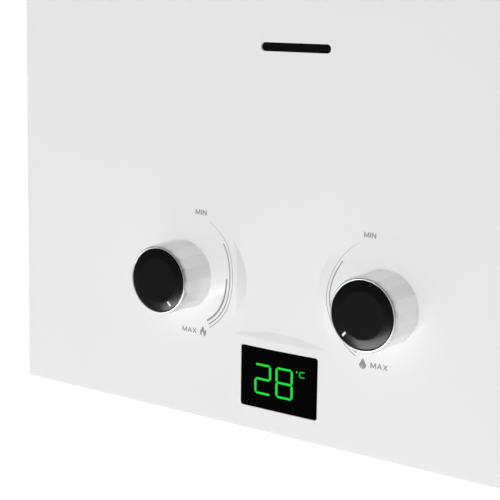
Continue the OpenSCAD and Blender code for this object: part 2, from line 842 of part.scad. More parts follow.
// Pressed front cover: face, sides and short lips above and below
module front_cover() {
    inner_r = edge_r - sheet;
    depth = [front_y - 2 * cut, panel_back_y + cut];
    color("white") difference() {
        union() {
            difference() {
                translate([0, front_y, 0]) front_block(case_w, case_d - cover_gap, case_h, edge_r);
                translate([0, panel_back_y, sheet])
                    front_block(case_w - 2 * sheet, case_d, case_h - 2 * sheet, inner_r);
                for (z = [-cut, case_h - sheet - cut]) {
                    span([sheet - side_x, side_x - sheet], [front_y + lip_d, cut],
                         [z, z + sheet + 2 * cut]);
                }
            }
            on_panel(0, brow_z, 0) pad(brow_half, brow_apex, 0, brow_run);
            on_panel(-knob_at + knob_crest_x, knob_z, -90)
                pad(knob_crest_half, knob_crest_apex, knob_crest_fold, knob_crest_run);
            on_panel(knob_at - knob_crest_x, knob_z, 90)
                pad(knob_crest_half, knob_crest_apex, knob_crest_fold, knob_crest_run);
        }
        translate([slot_x, depth[1], slot_z]) rotate([90, 0, 0])
            linear_extrude(depth[1] - depth[0]) round_slot(slot_w, slot_h);
        upright_plate(window_w, window_h, window_r, 0, depth, window_z);
        for (s = [-1, 1]) {
            rod_y(spindle_hole_d / 2, s * knob_at, depth, knob_z);
            rod_y(grommet_r + fit, s * knob_at, [depth[0], front_y], knob_z);
            for (z = [0, case_h - sheet]) {
                rod_z(screw_d / 2 + fit, s * cover_screw_x, cover_screw_y, [z - cut, z + sheet + cut]);
            }
        }
    }
}

// Sheet plate between the back plate and the cover's lip, with a flange at the back
module level_plate(z, flange_z) {
    span([-plate_half, plate_half], [plate_front_y, -sheet], [z, z + sheet]);
    span([-plate_half, plate_half], [-2 * sheet, -sheet], flange_z);
}

// Top plate with the flue's opening
module top_plate() {
    color("gainsboro") difference() {
        level_plate(top_plate_z - sheet, [top_plate_z - plate_flange_h, top_plate_z]);
        span([-chamber_half - fit, chamber_half + fit], [flue_front_y - fit, flue_back_y + fit],
             [top_plate_z - sheet - cut, top_plate_z + cut]);
        for (s = [-1, 1]) {
            rod_z(screw_d / 2 + run_gap, s * cover_screw_x, cover_screw_y,
                  [top_plate_z - sheet - cut, top_plate_z + cut]);
        }
        cap_screw_places() rod_z(screw_d / 2 + run_gap, 0, 0, [-sheet - cut, cut]);
    }
}

// Places of the rain cap's screws, on the top plate
module cap_screw_places() {
    for (sx = [-1, 1], sy = [-1, 1]) {
        translate([sx * (cap_half + cap_foot / 2), chamber_y + sy * cap_leg_d / 4, top_plate_z]) children();
    }
}

// Bottom plate with holes for pipes, drain, battery box and air
module bottom_plate() {
    depth = [bottom_plate_z - cut, bottom_plate_top + cut];
    color("gainsboro") difference() {
        level_plate(bottom_plate_z, [bottom_plate_z, bottom_plate_z + plate_flange_h]);
        for (x = [hot_x, -knob_at, knob_at]) {
            rod_z(nipple_hole_r, x, -pipe_y, depth);
        }
        rod_z(drain_hole_r, drain_plug_x, -drain_y, depth);
        span([box_x - box_half_x - fit, box_x + box_half_x + fit],
             [-box_y - box_half_y - fit, -box_y + box_half_y + fit], depth);
        for (i = [0 : air_slots - 1], row = [0, 1]) {
            x = (i - (air_slots - 1) / 2) * air_slot_pitch;
            y = -pipe_y + (row - 0.5) * (air_slot_l + air_slot_pitch);
            translate([x, y, depth[0]]) linear_extrude(depth[1] - depth[0])
                rotate(90) round_slot(air_slot_l, air_slot_w);
        }
        for (s = [-1, 1]) {
            rod_z(screw_d / 2 + run_gap, s * cover_screw_x, cover_screw_y, depth);
        }
    }
}

// Pan-head screw standing up from its seat
module pan_screw() {
    cylinder(d = screw_head_d, h = screw_head_h);
    translate([0, 0, -screw_l]) cylinder(d = screw_d, h = screw_l);
}

// Screws of the cover's lips and of the rain cap's feet
module casing_screws() {
    color("silver") {
        for (s = [-1, 1]) {
            translate([s * cover_screw_x, cover_screw_y, case_h]) pan_screw();
            translate([s * cover_screw_x, cover_screw_y, 0]) mirror([0, 0, 1]) pan_screw();
        }
        cap_screw_places() translate([0, 0, sheet]) pan_screw();
    }
}

// Hood that gathers the burnt gas above the fins
module flue_hood() {
    color("lightsteelblue") difference() {
        hood_block(chamber_half, 0, [chamber_top, hood_top]);
        hood_block(chamber_half - sheet, sheet * norm([1, hood_lean]), [chamber_top - cut, hood_top + cut]);
    }
}

// Block with sloping front and back, drawn in by a wall
module hood_block(half, wall, z) {
    below = hood_lean * (chamber_top - z[0]);
    above = hood_lean * (z[1] - hood_top);
    translate([-half, 0, 0]) rotate([90, 0, 90]) linear_extrude(2 * half) polygon([
        [chamber_front_y - below + wall, z[0]],
        [chamber_back_y + below - wall, z[0]],
        [flue_back_y - above - wall, z[1]],
        [flue_front_y + above + wall, z[1]]
    ]);
}

// Collar that takes the burnt gas through the top plate
module flue_collar() {
    color("lightsteelblue") difference() {
        span([-chamber_half, chamber_half], [flue_front_y, flue_back_y], [hood_top, case_h + collar_rise]);
        span([sheet - chamber_half, chamber_half - sheet], [flue_front_y + sheet, flue_back_y - sheet],
             [hood_top - cut, case_h + collar_rise + cut]);
    }
}

// Folded rain cap on two legs
module rain_cap() {
    front = flue_front_y - cap_over_y;
    back = flue_back_y + cap_over_y;
    leg = [chamber_y - cap_leg_d / 2, chamber_y + cap_leg_d / 2];
    color("lightsteelblue") difference() {
        union() {
            span([-cap_half, cap_half], [front, back], [cap_z - sheet, cap_z]);
            span([-cap_half, cap_half], [front, front + sheet], [cap_z - cap_skirt, cap_z]);
            span([-cap_half, cap_half], [back - sheet, back], [cap_z - cap_skirt, cap_z]);
            for (s = [0, 1]) mirror([s, 0, 0]) {
                span([cap_half - sheet, cap_half], leg, [cap_foot_z, cap_z]);
                span([cap_half - sheet, cap_half + cap_foot], leg, [cap_foot_z, cap_foot_z + sheet]);
            }
        }
        cap_screw_places() rod_z(screw_d / 2 + run_gap, 0, 0, [-cut, sheet + cut]);
    }
}

// Copper jacket of the combustion chamber
module combustion_chamber() {
    inner = chamber_half - chamber_t;
    color("peru") difference() {
        span([-chamber_half, chamber_half], [chamber_front_y, chamber_back_y], [chamber_z, chamber_top]);
        span([-inner, inner], [chamber_front_y + chamber_t, chamber_back_y - chamber_t],
             [chamber_z - cut, chamber_top + cut]);
        for (y = tube_ys) {
            rod_x(tube_r + tube_gap, [-chamber_half - cut, chamber_half + cut], y, tube_z);
        }
    }
}

// Row of copper fins on the tube's passes
module heat_exchanger_fins() {
    room = chamber_half - chamber_t - fin_gap;
    count = floor(room / fin_pitch);
    wall = chamber_t + fin_gap;
    color("darkgoldenrod") difference() {
        for (i = [-count : count]) {
            x = i * fin_pitch;
            if (abs(x) + fin_t / 2 < room) {
                span([x - fin_t / 2, x + fin_t / 2], [chamber_front_y + wall, chamber_back_y - wall],
                     [fin_z, fin_top]);
            }
        }
        for (y = tube_ys) {
            rod_x(tube_r + tube_gap, [-chamber_half, chamber_half], y, tube_z);
        }
    }
}

// Copper tube: one turn round the jacket, then to and fro through the fins
module heat_exchanger_tube() {
    front = chamber_front_y - coil_off;
    turn_x = chamber_half + tube_bend + tube_r / 2;
    passes = [
        for (i = [0 : tube_passes - 1], end = [0, 1])
            let (sign = (i + end) % 2 == 0 ? 1 : -1)
            if (i + end > 0 && i + end < tube_passes) [sign * turn_x, tube_ys[i], tube_z]
    ];
    color("peru") pipe(concat(
        [
            [riser_x, back_run_y, cold_join_z],
            [riser_x, back_run_y, coil_z],
            [-coil_side, back_run_y, coil_z],
            [-coil_side, front, coil_z],
            [coil_side, front, coil_z],
            [coil_side, tube_ys[0], coil_z],
            [coil_side, tube_ys[0], tube_z]
        ],
        passes,
        [[-coil_side, tube_ys[tube_passes - 1], tube_z]]
    ), tube_r, tube_wall, tube_bend);
}

// Sheet tray that carries the burner bars and the chamber
module burner_tray() {
    inner = chamber_half - sheet;
    depth = [chamber_front_y - cut, chamber_front_y + sheet + cut];
    color("silver") difference() {
        union() {
            difference() {
                span([-chamber_half, chamber_half], [chamber_front_y, chamber_back_y], [tray_z, chamber_z]);
                span([-inner, inner], [chamber_front_y + sheet, chamber_back_y - sheet],
                     [tray_z - cut, chamber_z + cut]);
            }
            for (y = [chamber_front_y + sheet + rail_inset, chamber_back_y - sheet - rail_inset - rail_w]) {
                span([sheet / 2 - chamber_half, chamber_half - sheet / 2], [y, y + rail_w],
                     [tray_z, bar_z]);
            }
        }
        span([-sight_w / 2, sight_w / 2], depth, [sight_top - sight_h, sight_top]);
        for (s = [-1, 1]) {
            rod_y(ceramic_d / 2 + fit, s * electrode_x, depth, electrode_z);
        }
    }
}

// Row of burner bars with flame slots along their tops
module burner_bars() {
    front = chamber_front_y + sheet + bar_gap;
    back = chamber_back_y - sheet - bar_gap;
    slot_pitch = (back - front) / (bar_slots + 1);
    color("slategray") for (x = bar_xs) {
        difference() {
            bar_block(x, 0, [front, back]);
            bar_block(x, bar_wall, [front, back]);
            for (i = [1 : bar_slots]) {
                y = front + i * slot_pitch;
                span([x - bar_w, x + bar_w], [y - bar_slot_w / 2, y + bar_slot_w / 2],
                     [bar_top - bar_slot_depth, bar_top + cut]);
            }
            rod_z(bar_inlet_d / 2, x, -valve_y, [bar_z - cut, bar_z + bar_wall + cut]);
        }
    }
}

// Round-topped block of a burner bar, drawn in by a wall
module bar_block(x, wall, y) {
    half = bar_w / 2;
    span([x - half + wall, x + half - wall], [y[0] + wall, y[1] - wall], [bar_z + wall, bar_top - half]);
    rod_y(half - wall, x, [y[0] + wall, y[1] - wall], bar_top - half);
}

// Gas manifold with its feed spigot and its lugs under the tray
module gas_manifold() {
    depth = [-valve_y - manifold_d / 2, -valve_y + manifold_d / 2];
    half = chamber_half - manifold_d / 2;
    color("silver") {
        span([-half, half], depth, [manifold_z, manifold_top]);
        rod_z(feed_d / 2, -knob_at, -valve_y, [valve_top, manifold_z + manifold_h / 2]);
        for (s = [0, 1]) mirror([s, 0, 0]) {
            span([half - manifold_d / 4, chamber_half], depth, [manifold_top - manifold_h / 2, tray_z]);
        }
    }
}

// Brass nozzles, one under each burner bar
module gas_nozzles() {
    color("goldenrod") for (x = bar_xs) {
        hex_z(nozzle_af, x, -valve_y, [manifold_top, manifold_top + nozzle_hex_h]);
        rod_z(nozzle_d / 2, x, -valve_y, [manifold_top, manifold_top + nozzle_h]);
    }
}

// Brackets from the back plate to the tray and the chamber
module chassis_brackets() {
    width = [chassis_x, chassis_x + chassis_w];
    color("lightgray") for (s = [0, 1], z = [tray_z + sheet, chamber_top - fin_h - chassis_h]) {
        height = [z, z + chassis_h];
        mirror([s, 0, 0]) {
            span([chassis_x, chassis_x + chassis_t], [chamber_back_y, -sheet], height);
            span(width, [chamber_back_y, chamber_back_y + chassis_t], height);
            span(width, [-sheet - chassis_t, -sheet], height);
        }
    }
}

// Pipe nipple through the bottom plate, with a collar above it
module nipple(x, top) {
    translate([x, -pipe_y, 0]) difference() {
        union() {
            rotate_extrude() polygon([
                [0, -nipple_drop],
                [nipple_d / 2 - nipple_bevel, -nipple_drop],
                [nipple_d / 2, nipple_bevel - nipple_drop],
                [nipple_d / 2, thread_top],
                [shank_d / 2, thread_top],
                [shank_d / 2, bottom_plate_top],
                [neck_d / 2, bottom_plate_top],
                [neck_d / 2, top],
                [0, top]
            ]);
            hex_z(nut_af, 0, 0, [bottom_plate_top, bottom_plate_top + collar_t]);
        }
        rod_z(nipple_bore / 2, 0, 0, [-nipple_drop - cut, top - nipple_bevel - tube_wall]);
    }
}

module gas_inlet() {
    color("goldenrod") nipple(-knob_at, valve_z);
}

module cold_inlet() {
    color("goldenrod") nipple(knob_at, valve_z);
}

module hot_outlet() {
    color("goldenrod") nipple(hot_x, hot_neck_z);
}

// Lock nuts under the bottom plate
module lock_nuts() {
    color("silver") for (x = [hot_x, -knob_at, knob_at]) {
        difference() {
            hex_z(nut_af, x, -pipe_y, [thread_top, bottom_plate_z]);
            rod_z(shank_d / 2 + run_gap, x, -pipe_y, [thread_top - cut, bottom_plate_z + cut]);
        }
    }
}

// Bore for a spindle in a valve's front boss
module spindle_bore(x) {
    rod_y(spindle_d / 2 + run_gap, x, [boss_front_y - cut, spindle_bore_y], knob_z);
}

// Die-cast gas valve
module gas_valve_body() {
    color("darkgray") difference() {
        union() {
            span([gas_valve_out, gas_valve_in], [valve_front_y, valve_back_y], [valve_z, valve_top]);
            rod_y(boss_d / 2, -knob_at, [boss_front_y, valve_front_y + cut], knob_z);
        }
        spindle_bore(-knob_at);
        rod_x(rod_d / 2 + run_gap, [rod_end_x - rod_travel - cut, gas_valve_in + cut], -valve_y, knob_z);
    }
}

// Solenoid on the gas valve's back that shuts the gas off
module solenoid_valve() {
    end_y = valve_back_y + solenoid_l;
    cap_l = solenoid_l / 4;
    color("dimgray") {
        rod_y(solenoid_d / 2, -knob_at, [valve_back_y, end_y - cap_l], knob_z);
        rod_y(solenoid_d / 3, -knob_at, [valve_back_y + cap_l, end_y], knob_z);
    }
}

// Valve spindle with a flat at the knob's end
module spindle(x) {
    difference() {
        rod_y(spindle_d / 2, x, [web_back_y, spindle_in_y], knob_z);
        span([x - spindle_d, x + spindle_d], [web_back_y - cut, knob_base_y],
             [knob_z + spindle_d / 3, knob_z + spindle_d]);
    }
}

module gas_spindle() {
    color("goldenrod") spindle(-knob_at);
}

module water_spindle() {
    color("goldenrod") spindle(knob_at);
}

// Faceted, hollow knob skirt with a hub
module knob_skirt(x, angle) {
    end_r = knob_r - knob_bevel;
    inner_r = knob_r * cos(180 / knob_facets) - skirt_wall;
    corners = [for (i = [0 : knob_facets - 1]) angle + 360 * i / knob_facets];
    translate([x, 0, knob_z]) difference() {
        intersection() {
            translate([0, knob_base_y, 0]) rotate([90, 0, 0]) linear_extrude(knob_base_y - knob_rim_y)
                polygon([for (turn = corners) knob_r * [cos(turn), sin(turn)]]);
            turned(0, 0, [
                [0, knob_rim_y],
                [end_r, knob_rim_y],
                [knob_r, knob_rim_y + knob_bevel_l],
                [knob_r, knob_base_y - knob_bevel_l],
                [end_r, knob_base_y],
                [0, knob_base_y]
            ]);
        }
        rod_y(cap_d / 2 + run_gap, 0, [knob_rim_y - cut, cap_back_y], 0);
        difference() {
            rod_y(inner_r, 0, [web_back_y, knob_base_y + cut], 0);
            rod_y(hub_d / 2, 0, [web_back_y - cut, knob_base_y], 0);
        }
        rod_y(spindle_d / 2 + run_gap, 0, [web_back_y, knob_base_y + cut], 0);
    }
}

module gas_knob_skirt() {
    color("lightgray") knob_skirt(-knob_at, gas_angle);
}

module water_knob_skirt() {
    color("lightgray") knob_skirt(knob_at, water_angle);
}

// Turned disc of the cap, crowned in front
module cap_disc() {
    turned(0, 0, [
        [0, knob_rim_y - cap_crown],
        [cap_flat_d / 2, knob_rim_y - cap_crown],
        [cap_d / 2, cap_edge_y],
        [cap_d / 2, cap_back_y],
        [0, cap_back_y]
    ]);
}

// Bar of the pointer's inlay, from its floor outwards
module pointer_bar(angle) {
    rotate([0, -angle, 0])
        span([pointer_r, pointer_r + pointer_l], [knob_rim_y - cap_crown - cut, knob_rim_y + pointer_depth],
             [-pointer_w / 2, pointer_w / 2]);
}

module knob_cap(x, angle) {
    translate([x, 0, knob_z]) difference() {
        cap_disc();
        pointer_bar(angle);
    }
}

module knob_pointer(x, angle) {
    translate([x, 0, knob_z]) intersection() {
        cap_disc();
        pointer_bar(angle);
    }
}

module gas_knob_cap() {
    color("black") knob_cap(-knob_at, gas_angle);
}

module water_knob_cap() {
    color("black") knob_cap(knob_at, water_angle);
}

module gas_knob_pointer() {
    color("white") knob_pointer(-knob_at, gas_angle);
}

module water_knob_pointer() {
    color("white") knob_pointer(knob_at, water_angle);
}

// Places of the diaphragm's screws, along X
module dia_screw_places() {
    translate([0, -valve_y, knob_z]) for (i = [0 : dia_screws - 1]) {
        rotate([360 * (i + 0.5) / dia_screws, 0, 0]) translate([0, 0, dia_screw_pcd / 2]) children();
    }
}

// Holes for those screws, between two limits along X
module dia_screw_holes(x) {
    dia_screw_places() rod_x(dia_screw_d / 2 + run_gap, x, 0, 0);
}

// Water valve with the chamber for the diaphragm and the boss for the drain
module water_valve_body() {
    color("dimgray") difference() {
        union() {
            span([water_valve_in, water_valve_out - cut], [valve_front_y, valve_back_y],
                 [valve_z, valve_top]);
            rod_x(dia_cover_d / 2, [water_valve_out - dia_flange_l, water_valve_out], -valve_y, knob_z);
            rod_y(boss_d / 2, knob_at, [boss_front_y, valve_front_y + cut], knob_z);
            rod_z(drain_boss_d / 2, drain_plug_x, -drain_y, [drain_mouth_z, valve_z + cut]);
        }
        spindle_bore(knob_at);
        rod_x(rod_d / 2 + run_gap, [water_valve_in - cut, water_valve_out], -valve_y, knob_z);
        rod_x(cavity_d / 2, [water_valve_out - cavity_l, water_valve_out + cut], -valve_y, knob_z);
        rod_z(drain_d / 2 + run_gap, drain_plug_x, -drain_y,
              [drain_mouth_z - cut, drain_mouth_z + drain_depth]);
        dia_screw_holes([water_valve_out - dia_flange_l + cut, water_valve_out + cut]);
    }
}

// Rubber diaphragm between the valve and its cover
module diaphragm() {
    color("black") difference() {
        rod_x(dia_cover_d / 2, [water_valve_out, dia_cover_x], -valve_y, knob_z);
        dia_screw_holes([water_valve_out - cut, dia_cover_x + cut]);
    }
}

module diaphragm_cover() {
    color("dimgray") difference() {
        rod_x(dia_cover_d / 2, [dia_cover_x, dia_cover_x + dia_cover_l], -valve_y, knob_z);
        rod_x(cavity_d / 2, [dia_cover_x - cut, dia_cover_x + dia_cover_depth], -valve_y, knob_z);
        dia_screw_holes([dia_cover_x - cut, dia_cover_x + dia_cover_l + cut]);
    }
}

module diaphragm_screws() {
    head = dia_cover_x + dia_cover_l;
    color("silver") dia_screw_places() {
        rod_x(dia_head_d / 2, [head, head + dia_head_h], 0, 0);
        rod_x(dia_screw_d / 2, [water_valve_out - dia_flange_l + 2 * cut, head + dia_head_h / 2], 0, 0);
    }
}

// Rod that the diaphragm pushes towards the gas valve
module push_rod() {
    collar_x = lever_w / 2 + lever_gap;
    color("goldenrod") {
        rod_x(rod_d / 2, [rod_end_x, rod_disc_x + rod_disc_t / 2], -valve_y, knob_z);
        rod_x(rod_collar_d / 2, [collar_x, collar_x + rod_collar_l], -valve_y, knob_z);
        rod_x(rod_disc_d / 2, [rod_disc_x, rod_disc_x + rod_disc_t], -valve_y, knob_z);
    }
}

// Cold pipe from the water valve to the exchanger's tube
module cold_pipe() {
    color("peru") pipe([
        [cold_pipe_x, valve_back_y, cold_pipe_z],
        [cold_pipe_x, back_run_y, cold_pipe_z],
        [riser_x, back_run_y, cold_pipe_z],
        [riser_x, back_run_y, cold_join_z]
    ], tube_r, tube_wall, pipe_bend);
}

// Hot pipe from the exchanger's tube to the outlet
module hot_pipe() {
    last_y = tube_ys[tube_passes - 1];
    color("peru") pipe([
        [-coil_side, last_y, tube_z],
        [hot_x, last_y, tube_z],
        [hot_x, last_y, hot_step_z],
        [hot_x, -pipe_y, hot_step_z],
        [hot_x, -pipe_y, hot_neck_z]
    ], tube_r, tube_wall, pipe_bend);
}

// Drain plug under the water valve, with grooves in its head
module drain_plug() {
    head_z = -drain_drop - drain_head_h;
    color("ivory") translate([drain_plug_x, -drain_y, 0]) difference() {
        union() {
            rod_z(drain_d / 2, 0, 0, [drain_shoulder_z - cut, drain_mouth_z + drain_l - seal_t]);
            rod_z(drain_shoulder_d / 2, 0, 0, [-drain_drop - cut, drain_shoulder_z]);
            rod_z(drain_head_d / 2, 0, 0, [head_z, -drain_drop]);
        }
        for (i = [0 : drain_grooves - 1]) {
            rotate(360 * i / drain_grooves)
                rod_z(drain_groove_r, drain_head_d / 2, 0, [head_z - cut, -drain_drop - cut]);
        }
    }
}

// Seal between the drain plug's shoulder and its boss
module drain_seal() {
    color("black") translate([drain_plug_x, -drain_y, drain_shoulder_z + seal_gap]) difference() {
        cylinder(d = drain_shoulder_d, h = seal_t);
        translate([0, 0, -cut]) cylinder(r = drain_d / 2 + seal_gap, h = seal_t + 2 * cut);
    }
}

// Microswitch with the pivot of its lever
module microswitch() {
    color("darkslategray") {
        span([-switch_w / 2, switch_w / 2], [switch_front_y, switch_back_y],
             [switch_top - switch_h, switch_top]);
        rod_y(pivot_d / 2, 0, [switch_back_y - cut, lever_back_y], pivot_z);
    }
}

// Lever that the push rod's collar turns
module microswitch_lever() {
    foot = knob_z + rod_d / 2 + lever_gap;
    color("silver") difference() {
        union() {
            rod_y(pivot_d / 2 + lever_w / 2, 0, [lever_front_y, lever_back_y], pivot_z);
            span([-lever_w / 2, lever_w / 2], [lever_front_y, lever_back_y], [foot, pivot_z]);
        }
        rod_y(pivot_d / 2 + run_gap, 0, [lever_front_y - cut, lever_back_y + cut], pivot_z);
    }
}

// Plate on the water valve that carries the microswitch
module switch_bracket() {
    color("silver") span([-switch_w / 2, water_valve_in + switch_seat], [switch_front_y, lever_back_y],
                         [switch_top, switch_top + switch_plate_t]);
}

module igniter_box() {
    lid_t = 2 * sheet;
    left = igniter_x - igniter_w / 2;
    right = igniter_x + igniter_w / 2;
    front = -sheet - igniter_d;
    top = igniter_z + igniter_h;
    color("darkslategray") {
        span([left, right], [front + lid_t, -sheet], [igniter_z, top]);
        span([left + lid_t, right - lid_t], [front, front + lid_t + cut], [igniter_z + lid_t, top - lid_t]);
    }
}

// Ceramic electrode with its flange on the tray's front
module electrode(x) {
    color("seashell") {
        rod_y(ceramic_d / 2, x, [chamber_front_y - ceramic_out, chamber_front_y + ceramic_in], electrode_z);
        rod_y(needle_d / 2, x, [chamber_front_y, chamber_front_y + ceramic_in + needle_l], electrode_z);
        upright_plate(electrode_flange, electrode_flange, tube_wall, x,
                      [chamber_front_y - electrode_flange_t, chamber_front_y], electrode_z);
    }
}

module ignition_electrode() {
    electrode(-electrode_x);
}

module flame_sensor() {
    electrode(electrode_x);
}

// Lead from the igniter box to the ignition electrode
module ignition_lead() {
    x = igniter_x + igniter_w / 2 - 2 * lead_d;
    front = chamber_front_y - ceramic_out - 2 * lead_d;
    low = electrode_z - lead_drop;
    color("firebrick") bent_bar([
        [x, -sheet - igniter_d, low],
        [x, front, low],
        [-electrode_x, front, low],
        [-electrode_x, front, electrode_z],
        [-electrode_x, chamber_front_y - ceramic_out, electrode_z]
    ], lead_d / 2, lead_bend);
}

module limit_thermostat() {
    z = coil_z + thermostat_rise;
    color("silver") {
        rod_y(thermostat_d / 2, thermostat_x, [chamber_front_y - thermostat_l / 2, chamber_front_y], z);
        rod_y(thermostat_d / 3, thermostat_x, [chamber_front_y - thermostat_l, chamber_front_y - cut], z);
    }
}

// Temperature sensor clipped on the hot pipe
module outlet_sensor() {
    y = tube_ys[tube_passes - 1];
    z = coil_z + sensor_rise;
    clip_r = tube_r + tube_gap + sensor_wall;
    color("darkslategray") difference() {
        union() {
            rod_z(clip_r, hot_x, y, [z, z + sensor_h]);
            span([hot_x, hot_x + clip_r + sensor_wall], [y - clip_r / 2, y + clip_r / 2],
                 [z, z + sensor_h]);
        }
        rod_z(tube_r + tube_gap, hot_x, y, [z - cut, z + sensor_h + cut]);
    }
}

// Dark lens, flush in the panel, with a flange behind it
module display_lens() {
    color("black") {
        intersection() {
            translate([-lens_half, 0, window_z]) rotate([90, 0, 90]) linear_extrude(2 * lens_half) polygon([
                [front_y - lens_foot, -lens_half_h],
                [lens_back_y, -lens_half_h],
                [lens_back_y, lens_half_h],
                [front_y - lens_rise, lens_half_h]
            ]);
            upright_plate(2 * lens_half, 2 * lens_half_h, window_r, 0, [front_y - cut, lens_back_y],
                          window_z);
        }
        upright_plate(lens_back_w, lens_back_h, window_r, 0, [panel_back_y, lens_back_y], window_z);
    }
}

// Plastic frame behind the panel that carries lens, LED module and board
module display_bracket() {
    color("whitesmoke") difference() {
        upright_plate(2 * bracket_half, 2 * bracket_half_h, window_r, 0, [panel_back_y, module_back_y],
                      window_z);
        upright_plate(lens_back_w + 2 * lens_gap, lens_back_h + 2 * lens_gap, window_r, 0,
                      [panel_back_y - cut, module_back_y + cut], window_z);
    }
}

// Block of light-emitting segments behind the lens
module led_module() {
    color("gray") upright_plate(window_w, window_h, window_r, 0, [lens_back_y, module_back_y], window_z);
}

module display_board() {
    color("darkgreen") upright_plate(2 * bracket_half, 2 * bracket_half_h, window_r, 0,
                                     [module_back_y, board_back_y], window_z);
}

// Heat-proof pane behind the sight slot
module sight_pane() {
    color("dimgray") upright_plate(slot_w + 2 * pane_margin, slot_h + 2 * pane_margin, pane_margin / 2,
                                   slot_x, [panel_back_y, panel_back_y + pane_t], slot_z);
}

// Box that opens downwards through the bottom plate, with hinge ears at its back
module battery_box() {
    color("whitesmoke") difference() {
        union() {
            span([box_x - box_half_x, box_x + box_half_x], [-box_y - box_half_y, -box_y + box_half_y],
                 [0, cavity_top + box_wall]);
            span([box_x - box_half_x - box_flange, box_x + box_half_x + box_flange],
                 [-box_y - box_half_y - box_flange, -box_y + box_half_y + box_flange],
                 [bottom_plate_top, bottom_plate_top + box_flange_t]);
            for (s = [0, 1]) translate([box_x, 0, 0]) mirror([s, 0, 0]) hinge_ear();
        }
        span([box_x - cavity_half_x, box_x + cavity_half_x],
             [-box_y - cavity_half_y, -box_y + cavity_half_y], [-cut, cavity_top]);
        rod_x(pin_d / 2 + run_gap, [box_x - ear_out - cut, box_x + ear_out + cut], pin_y, pin_z);
    }
}

// Ear with the hinge pin's bore, hung on the box's rear wall
module hinge_ear() {
    rod_x(knuckle_d / 2, [ear_in, ear_out], pin_y, pin_z);
    span([ear_in, ear_out], [pin_y - pin_back - box_wall / 2, pin_y + knuckle_d / 2], [0, sheet]);
    span([ear_in, ear_out], [pin_y, pin_y + knuckle_d / 2], [pin_z, sheet]);
}

// Two batteries, one turned over
module batteries() {
    color("darkslateblue") for (i = [0, 1]) {
        can = i == 0 ? [cell_z, cell_top - nub_l] : [cell_z + nub_l, cell_top];
        rod_z(cell_d / 2, box_x, cell_ys[i], can);
        rod_z(nub_d / 2, box_x, cell_ys[i], [cell_z, cell_top]);
    }
}

// Contact plates with springs above the batteries
module battery_contacts() {
    half = cell_d / 2 - cell_gap;
    color("silver") for (y = cell_ys) {
        span([box_x - half, box_x + half], [y - half, y + half], [contact_z, cavity_top]);
        rod_z(spring_d / 2, box_x, y, [cell_top, contact_z]);
    }
}

// Door under the battery box, with the hinge's knuckle
module battery_door() {
    front = -box_y - box_half_y;
    back = -box_y + box_half_y - box_wall;
    color("whitesmoke") translate([box_x, 0, 0]) difference() {
        union() {
            span([-box_half_x, box_half_x], [front, back], [door_bottom, door_top]);
            span([-knuckle_w / 2, knuckle_w / 2], [back - cut, pin_y], [door_bottom, door_top]);
            rod_x(knuckle_d / 2, [-knuckle_w / 2, knuckle_w / 2], pin_y, pin_z);
        }
        rod_x(pin_d / 2 + run_gap, [-knuckle_w / 2 - cut, knuckle_w / 2 + cut], pin_y, pin_z);
    }
}

// Contact plate on the door that joins the batteries
module door_contacts() {
    half = cell_d / 2 - cell_gap;
    color("silver") {
        span([box_x - half / 2, box_x + half / 2], [cell_ys[0] - half / 2, cell_ys[1] + half / 2],
             [door_top, door_top + contact_t]);
        for (y = cell_ys) {
            rod_z(spring_d / 2, box_x, y, [door_top, cell_z - door_gap]);
        }
    }
}

module door_pin() {
    color("silver") rod_x(pin_d / 2, [box_x - ear_out, box_x + ear_out], pin_y, pin_z);
}

// Rubber grommets in the cover's spindle holes
module spindle_grommets() {
    depth = [front_y - grommet_lip_t, panel_back_y + grommet_lip_t];
    color("black") for (x = [-knob_at, knob_at]) {
        difference() {
            union() {
                rod_y(spindle_hole_d / 2 - run_gap, x, depth, knob_z);
                rod_y(grommet_r, x, [depth[0], front_y], knob_z);
                rod_y(grommet_r, x, [panel_back_y, depth[1]], knob_z);
            }
            rod_y(spindle_d / 2 + grommet_gap, x, [depth[0] - cut, depth[1] + cut], knob_z);
        }
    }
}

back_plate();
front_cover();
top_plate();
bottom_plate();
casing_screws();
flue_hood();
flue_collar();
rain_cap();
combustion_chamber();
heat_exchanger_fins();
heat_exchanger_tube();
burner_tray();
burner_bars();
gas_manifold();
gas_nozzles();
chassis_brackets();
gas_inlet();
gas_valve_body();
solenoid_valve();
gas_spindle();
gas_knob_skirt();
gas_knob_cap();
gas_knob_pointer();
cold_inlet();
hot_outlet();
lock_nuts();
water_valve_body();
diaphragm();
diaphragm_cover();
diaphragm_screws();
push_rod();
water_spindle();
water_knob_skirt();
water_knob_cap();
water_knob_pointer();
cold_pipe();
hot_pipe();
drain_plug();
drain_seal();
microswitch();
microswitch_lever();
switch_bracket();
igniter_box();
ignition_electrode();
flame_sensor();
ignition_lead();
limit_thermostat();
outlet_sensor();
display_lens();
display_bracket();
led_module();
display_board();
sight_pane();
battery_box();
batteries();
battery_contacts();
battery_door();
door_contacts();
door_pin();
spindle_grommets();
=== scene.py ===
import json
import math

import bmesh
import bpy
from bpy.props import FloatProperty, FloatVectorProperty, PointerProperty
from mathutils import Matrix, Vector
from mathutils.bvhtree import BVHTree

